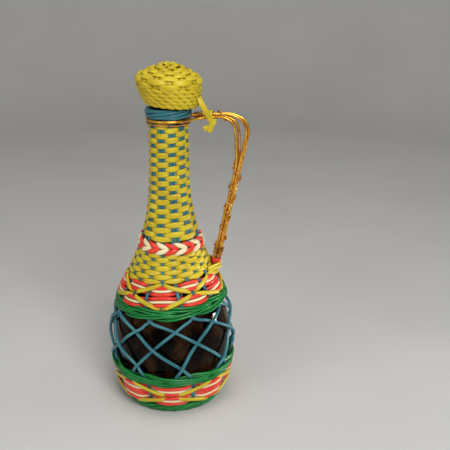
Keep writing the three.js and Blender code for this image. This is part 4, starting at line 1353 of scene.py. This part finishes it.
def stopper_stakes():
    """Upright cords under the rows, from near the rim to near the middle of the top."""
    count = STOPPER_STAKE_POINTS
    low, high = STOPPER_STAKE_ENDS
    distance = np.linspace(low, STOPPER_LENGTH - high, count)
    half_width = np.linspace(*STOPPER_STAKE_HALF, count)
    stakes = []
    for number in range(STOPPER_STAKES):
        angle = np.full(count, STOPPER_FIRST + number * TURN / STOPPER_STAKES)
        centres, outward = on_stopper(angle, distance, np.full(count, -STOPPER_STAKE_SINK))
        stakes.append(strand(
            centres, outward, half_width, STOPPER_STAKE_THICKNESS / 2, sides=STOPPER_STAKE_SIDES,
            square=STAKE_SQUARE,
        ))
    cover("yellow_stopper_stakes", stakes)


def stopper_shaded_lining():
    """A thin skin under the stitches, so that no cork shows between them; its darker yellow is painted shade
    in the gaps.
    """
    rings = np.linspace(0, STOPPER_LENGTH - LINING_END, LINING_RINGS)
    distance = np.repeat(rings, LINING_SIDES)
    angle = np.tile(around(LINING_SIDES), LINING_RINGS)
    corners, _ = on_stopper(angle, distance, -np.interp(distance, (0, STOPPER_LENGTH), LINING_DEPTH))
    cover("stopper_shaded_lining", [(corners, grid_faces(LINING_RINGS, LINING_SIDES), corners)], SHADED_LINING)


def stopper_cork():
    flat = PLUG_RADIUS - PLUG_EDGE
    plug = [(PLUG_MIDDLE, -PLUG_LENGTH), (flat, -PLUG_LENGTH)]
    for a in np.linspace(0, TURN / 4, EDGE_POINTS):
        plug.append((flat + PLUG_EDGE * math.sin(a), -PLUG_LENGTH + PLUG_EDGE * (1 - math.cos(a))))
    knob = smooth_curve(KNOB, KNOB_POINTS)
    outline = np.vstack([plug, [(PLUG_RADIUS, KNOB[0][1])], knob]) + (0, STOPPER_BASE)
    piece("cork_plug", [lathe(outline, CORK_SIDES)], CORK, "stopper_cork", "stopper")


def tether():
    """A flat cord from the stopper to the handle's knot."""
    middle = handle_points(KNOT_SHARE, [(0, 0, 0)])[0]
    way = [(x, y, STOPPER_BASE + above) for x, y, above in TETHER_WAY]
    way.append((middle[0] + TETHER_END["out"], TETHER_END["side"], middle[2] + TETHER_END["above"]))
    centres = smooth_curve(way, TETHER_POINTS)
    outward = np.tile(unit(np.array(TETHER_FACE)), (TETHER_POINTS, 1))
    made = strand(centres, outward, TETHER_WIDTH / 2, TETHER_THICKNESS / 2, square=TIE_SQUARE)
    cord = piece("yellow_tether", [made], YELLOW, "stopper_tether", None)
    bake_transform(cord)


def studio_floor():
    material, tree, shader = new_material("pale_floor")
    slow = noise(tree, place_in(tree), FLOOR_TONES, 2.0)
    paint = colours(tree, slow, [(0.3, (0.62, 0.61, 0.59)), (0.7, (0.66, 0.65, 0.63))])
    set_inputs(tree, shader, Base_Color=paint, Roughness=0.75)
    bend = np.linspace(0, TURN / 4, BEND_RINGS)
    sweep = [(FLOOR_FLAT + FLOOR_BEND * math.sin(a), FLOOR_BEND - FLOOR_BEND * math.cos(a)) for a in bend]
    profile = [(FLOOR_MIDDLE, 0.0), *sweep, (FLOOR_FLAT + FLOOR_BEND, WALL_TOP)]
    corners, faces, _ = lathe(profile, FLOOR_SIDES)
    add_mesh("floor", corners, faces, material)


def studio_lights():
    for name, place, aim, width, height, power, spread in LIGHTS:
        light = bpy.data.lights.new(name, "AREA")
        light.shape = "ELLIPSE"
        light.size = width
        light.size_y = height
        light.energy = power
        light.spread = spread
        lamp = bpy.data.objects.new(name, light)
        way = np.array(aim) - np.array(place)
        turn = math.atan2(way[1], way[0]) - TURN / 4
        tilt = TURN / 4 + math.atan2(way[2], math.hypot(way[0], way[1]))
        lamp.location = place
        lamp.rotation_euler = (tilt, 0, turn)
        lamp.visible_camera = False
        bpy.context.scene.collection.objects.link(lamp)
    world = bpy.data.worlds.new("studio")
    world.use_nodes = True
    sky = world.node_tree.nodes["Background"]
    set_inputs(world.node_tree, sky, Color=SKY_COLOUR, Strength=SKY_STRENGTH)
    bpy.context.scene.world = world


def studio_camera():
    camera = bpy.data.cameras.new("camera")
    camera.lens = CAMERA_LENS
    camera.sensor_width = CAMERA_SENSOR
    camera.clip_start = CAMERA_NEAR
    view = bpy.data.objects.new("camera", camera)
    place = Matrix.Translation([c * MILLIMETRE for c in CAMERA_PLACE])
    view.matrix_world = place @ Matrix.Rotation(CAMERA_PITCH, 4, "X") @ Matrix.Rotation(CAMERA_ROLL, 4, "Z")
    bpy.context.scene.collection.objects.link(view)
    bpy.context.scene.camera = view
    bpy.context.scene.view_settings.view_transform = "Standard"


studio_floor()
studio_lights()
studio_camera()
glass_bottle()
upright_cords()
neck_weavers()
shoulder_weavers()
braid()
striped_band("shoulder_band", SHOULDER_BAND, SHOULDER_STRIPE, SHOULDER_PART, FIRST_PAIR + 0.5 * CORD_STEP)
striped_band("base_band", BASE_BAND, BASE_STRIPE, BASE_PART, BASE_BAND_PHASE)
green_ring("upper_ring", UPPER_RING, UPPER_RING_ROW, FIRST_PAIR)
green_ring("lower_ring", LOWER_RING, LOWER_RING_ROW, LOWER_RING_FIRST)
base_ring()
mouth_border()
collar()
handle_wires()
handle_binding()
tether_knot()
foot_tie()
foot_wrap()
stopper_cork()
stopper_side()
stopper_top()
stopper_stakes()
stopper_shaded_lining()
tether()
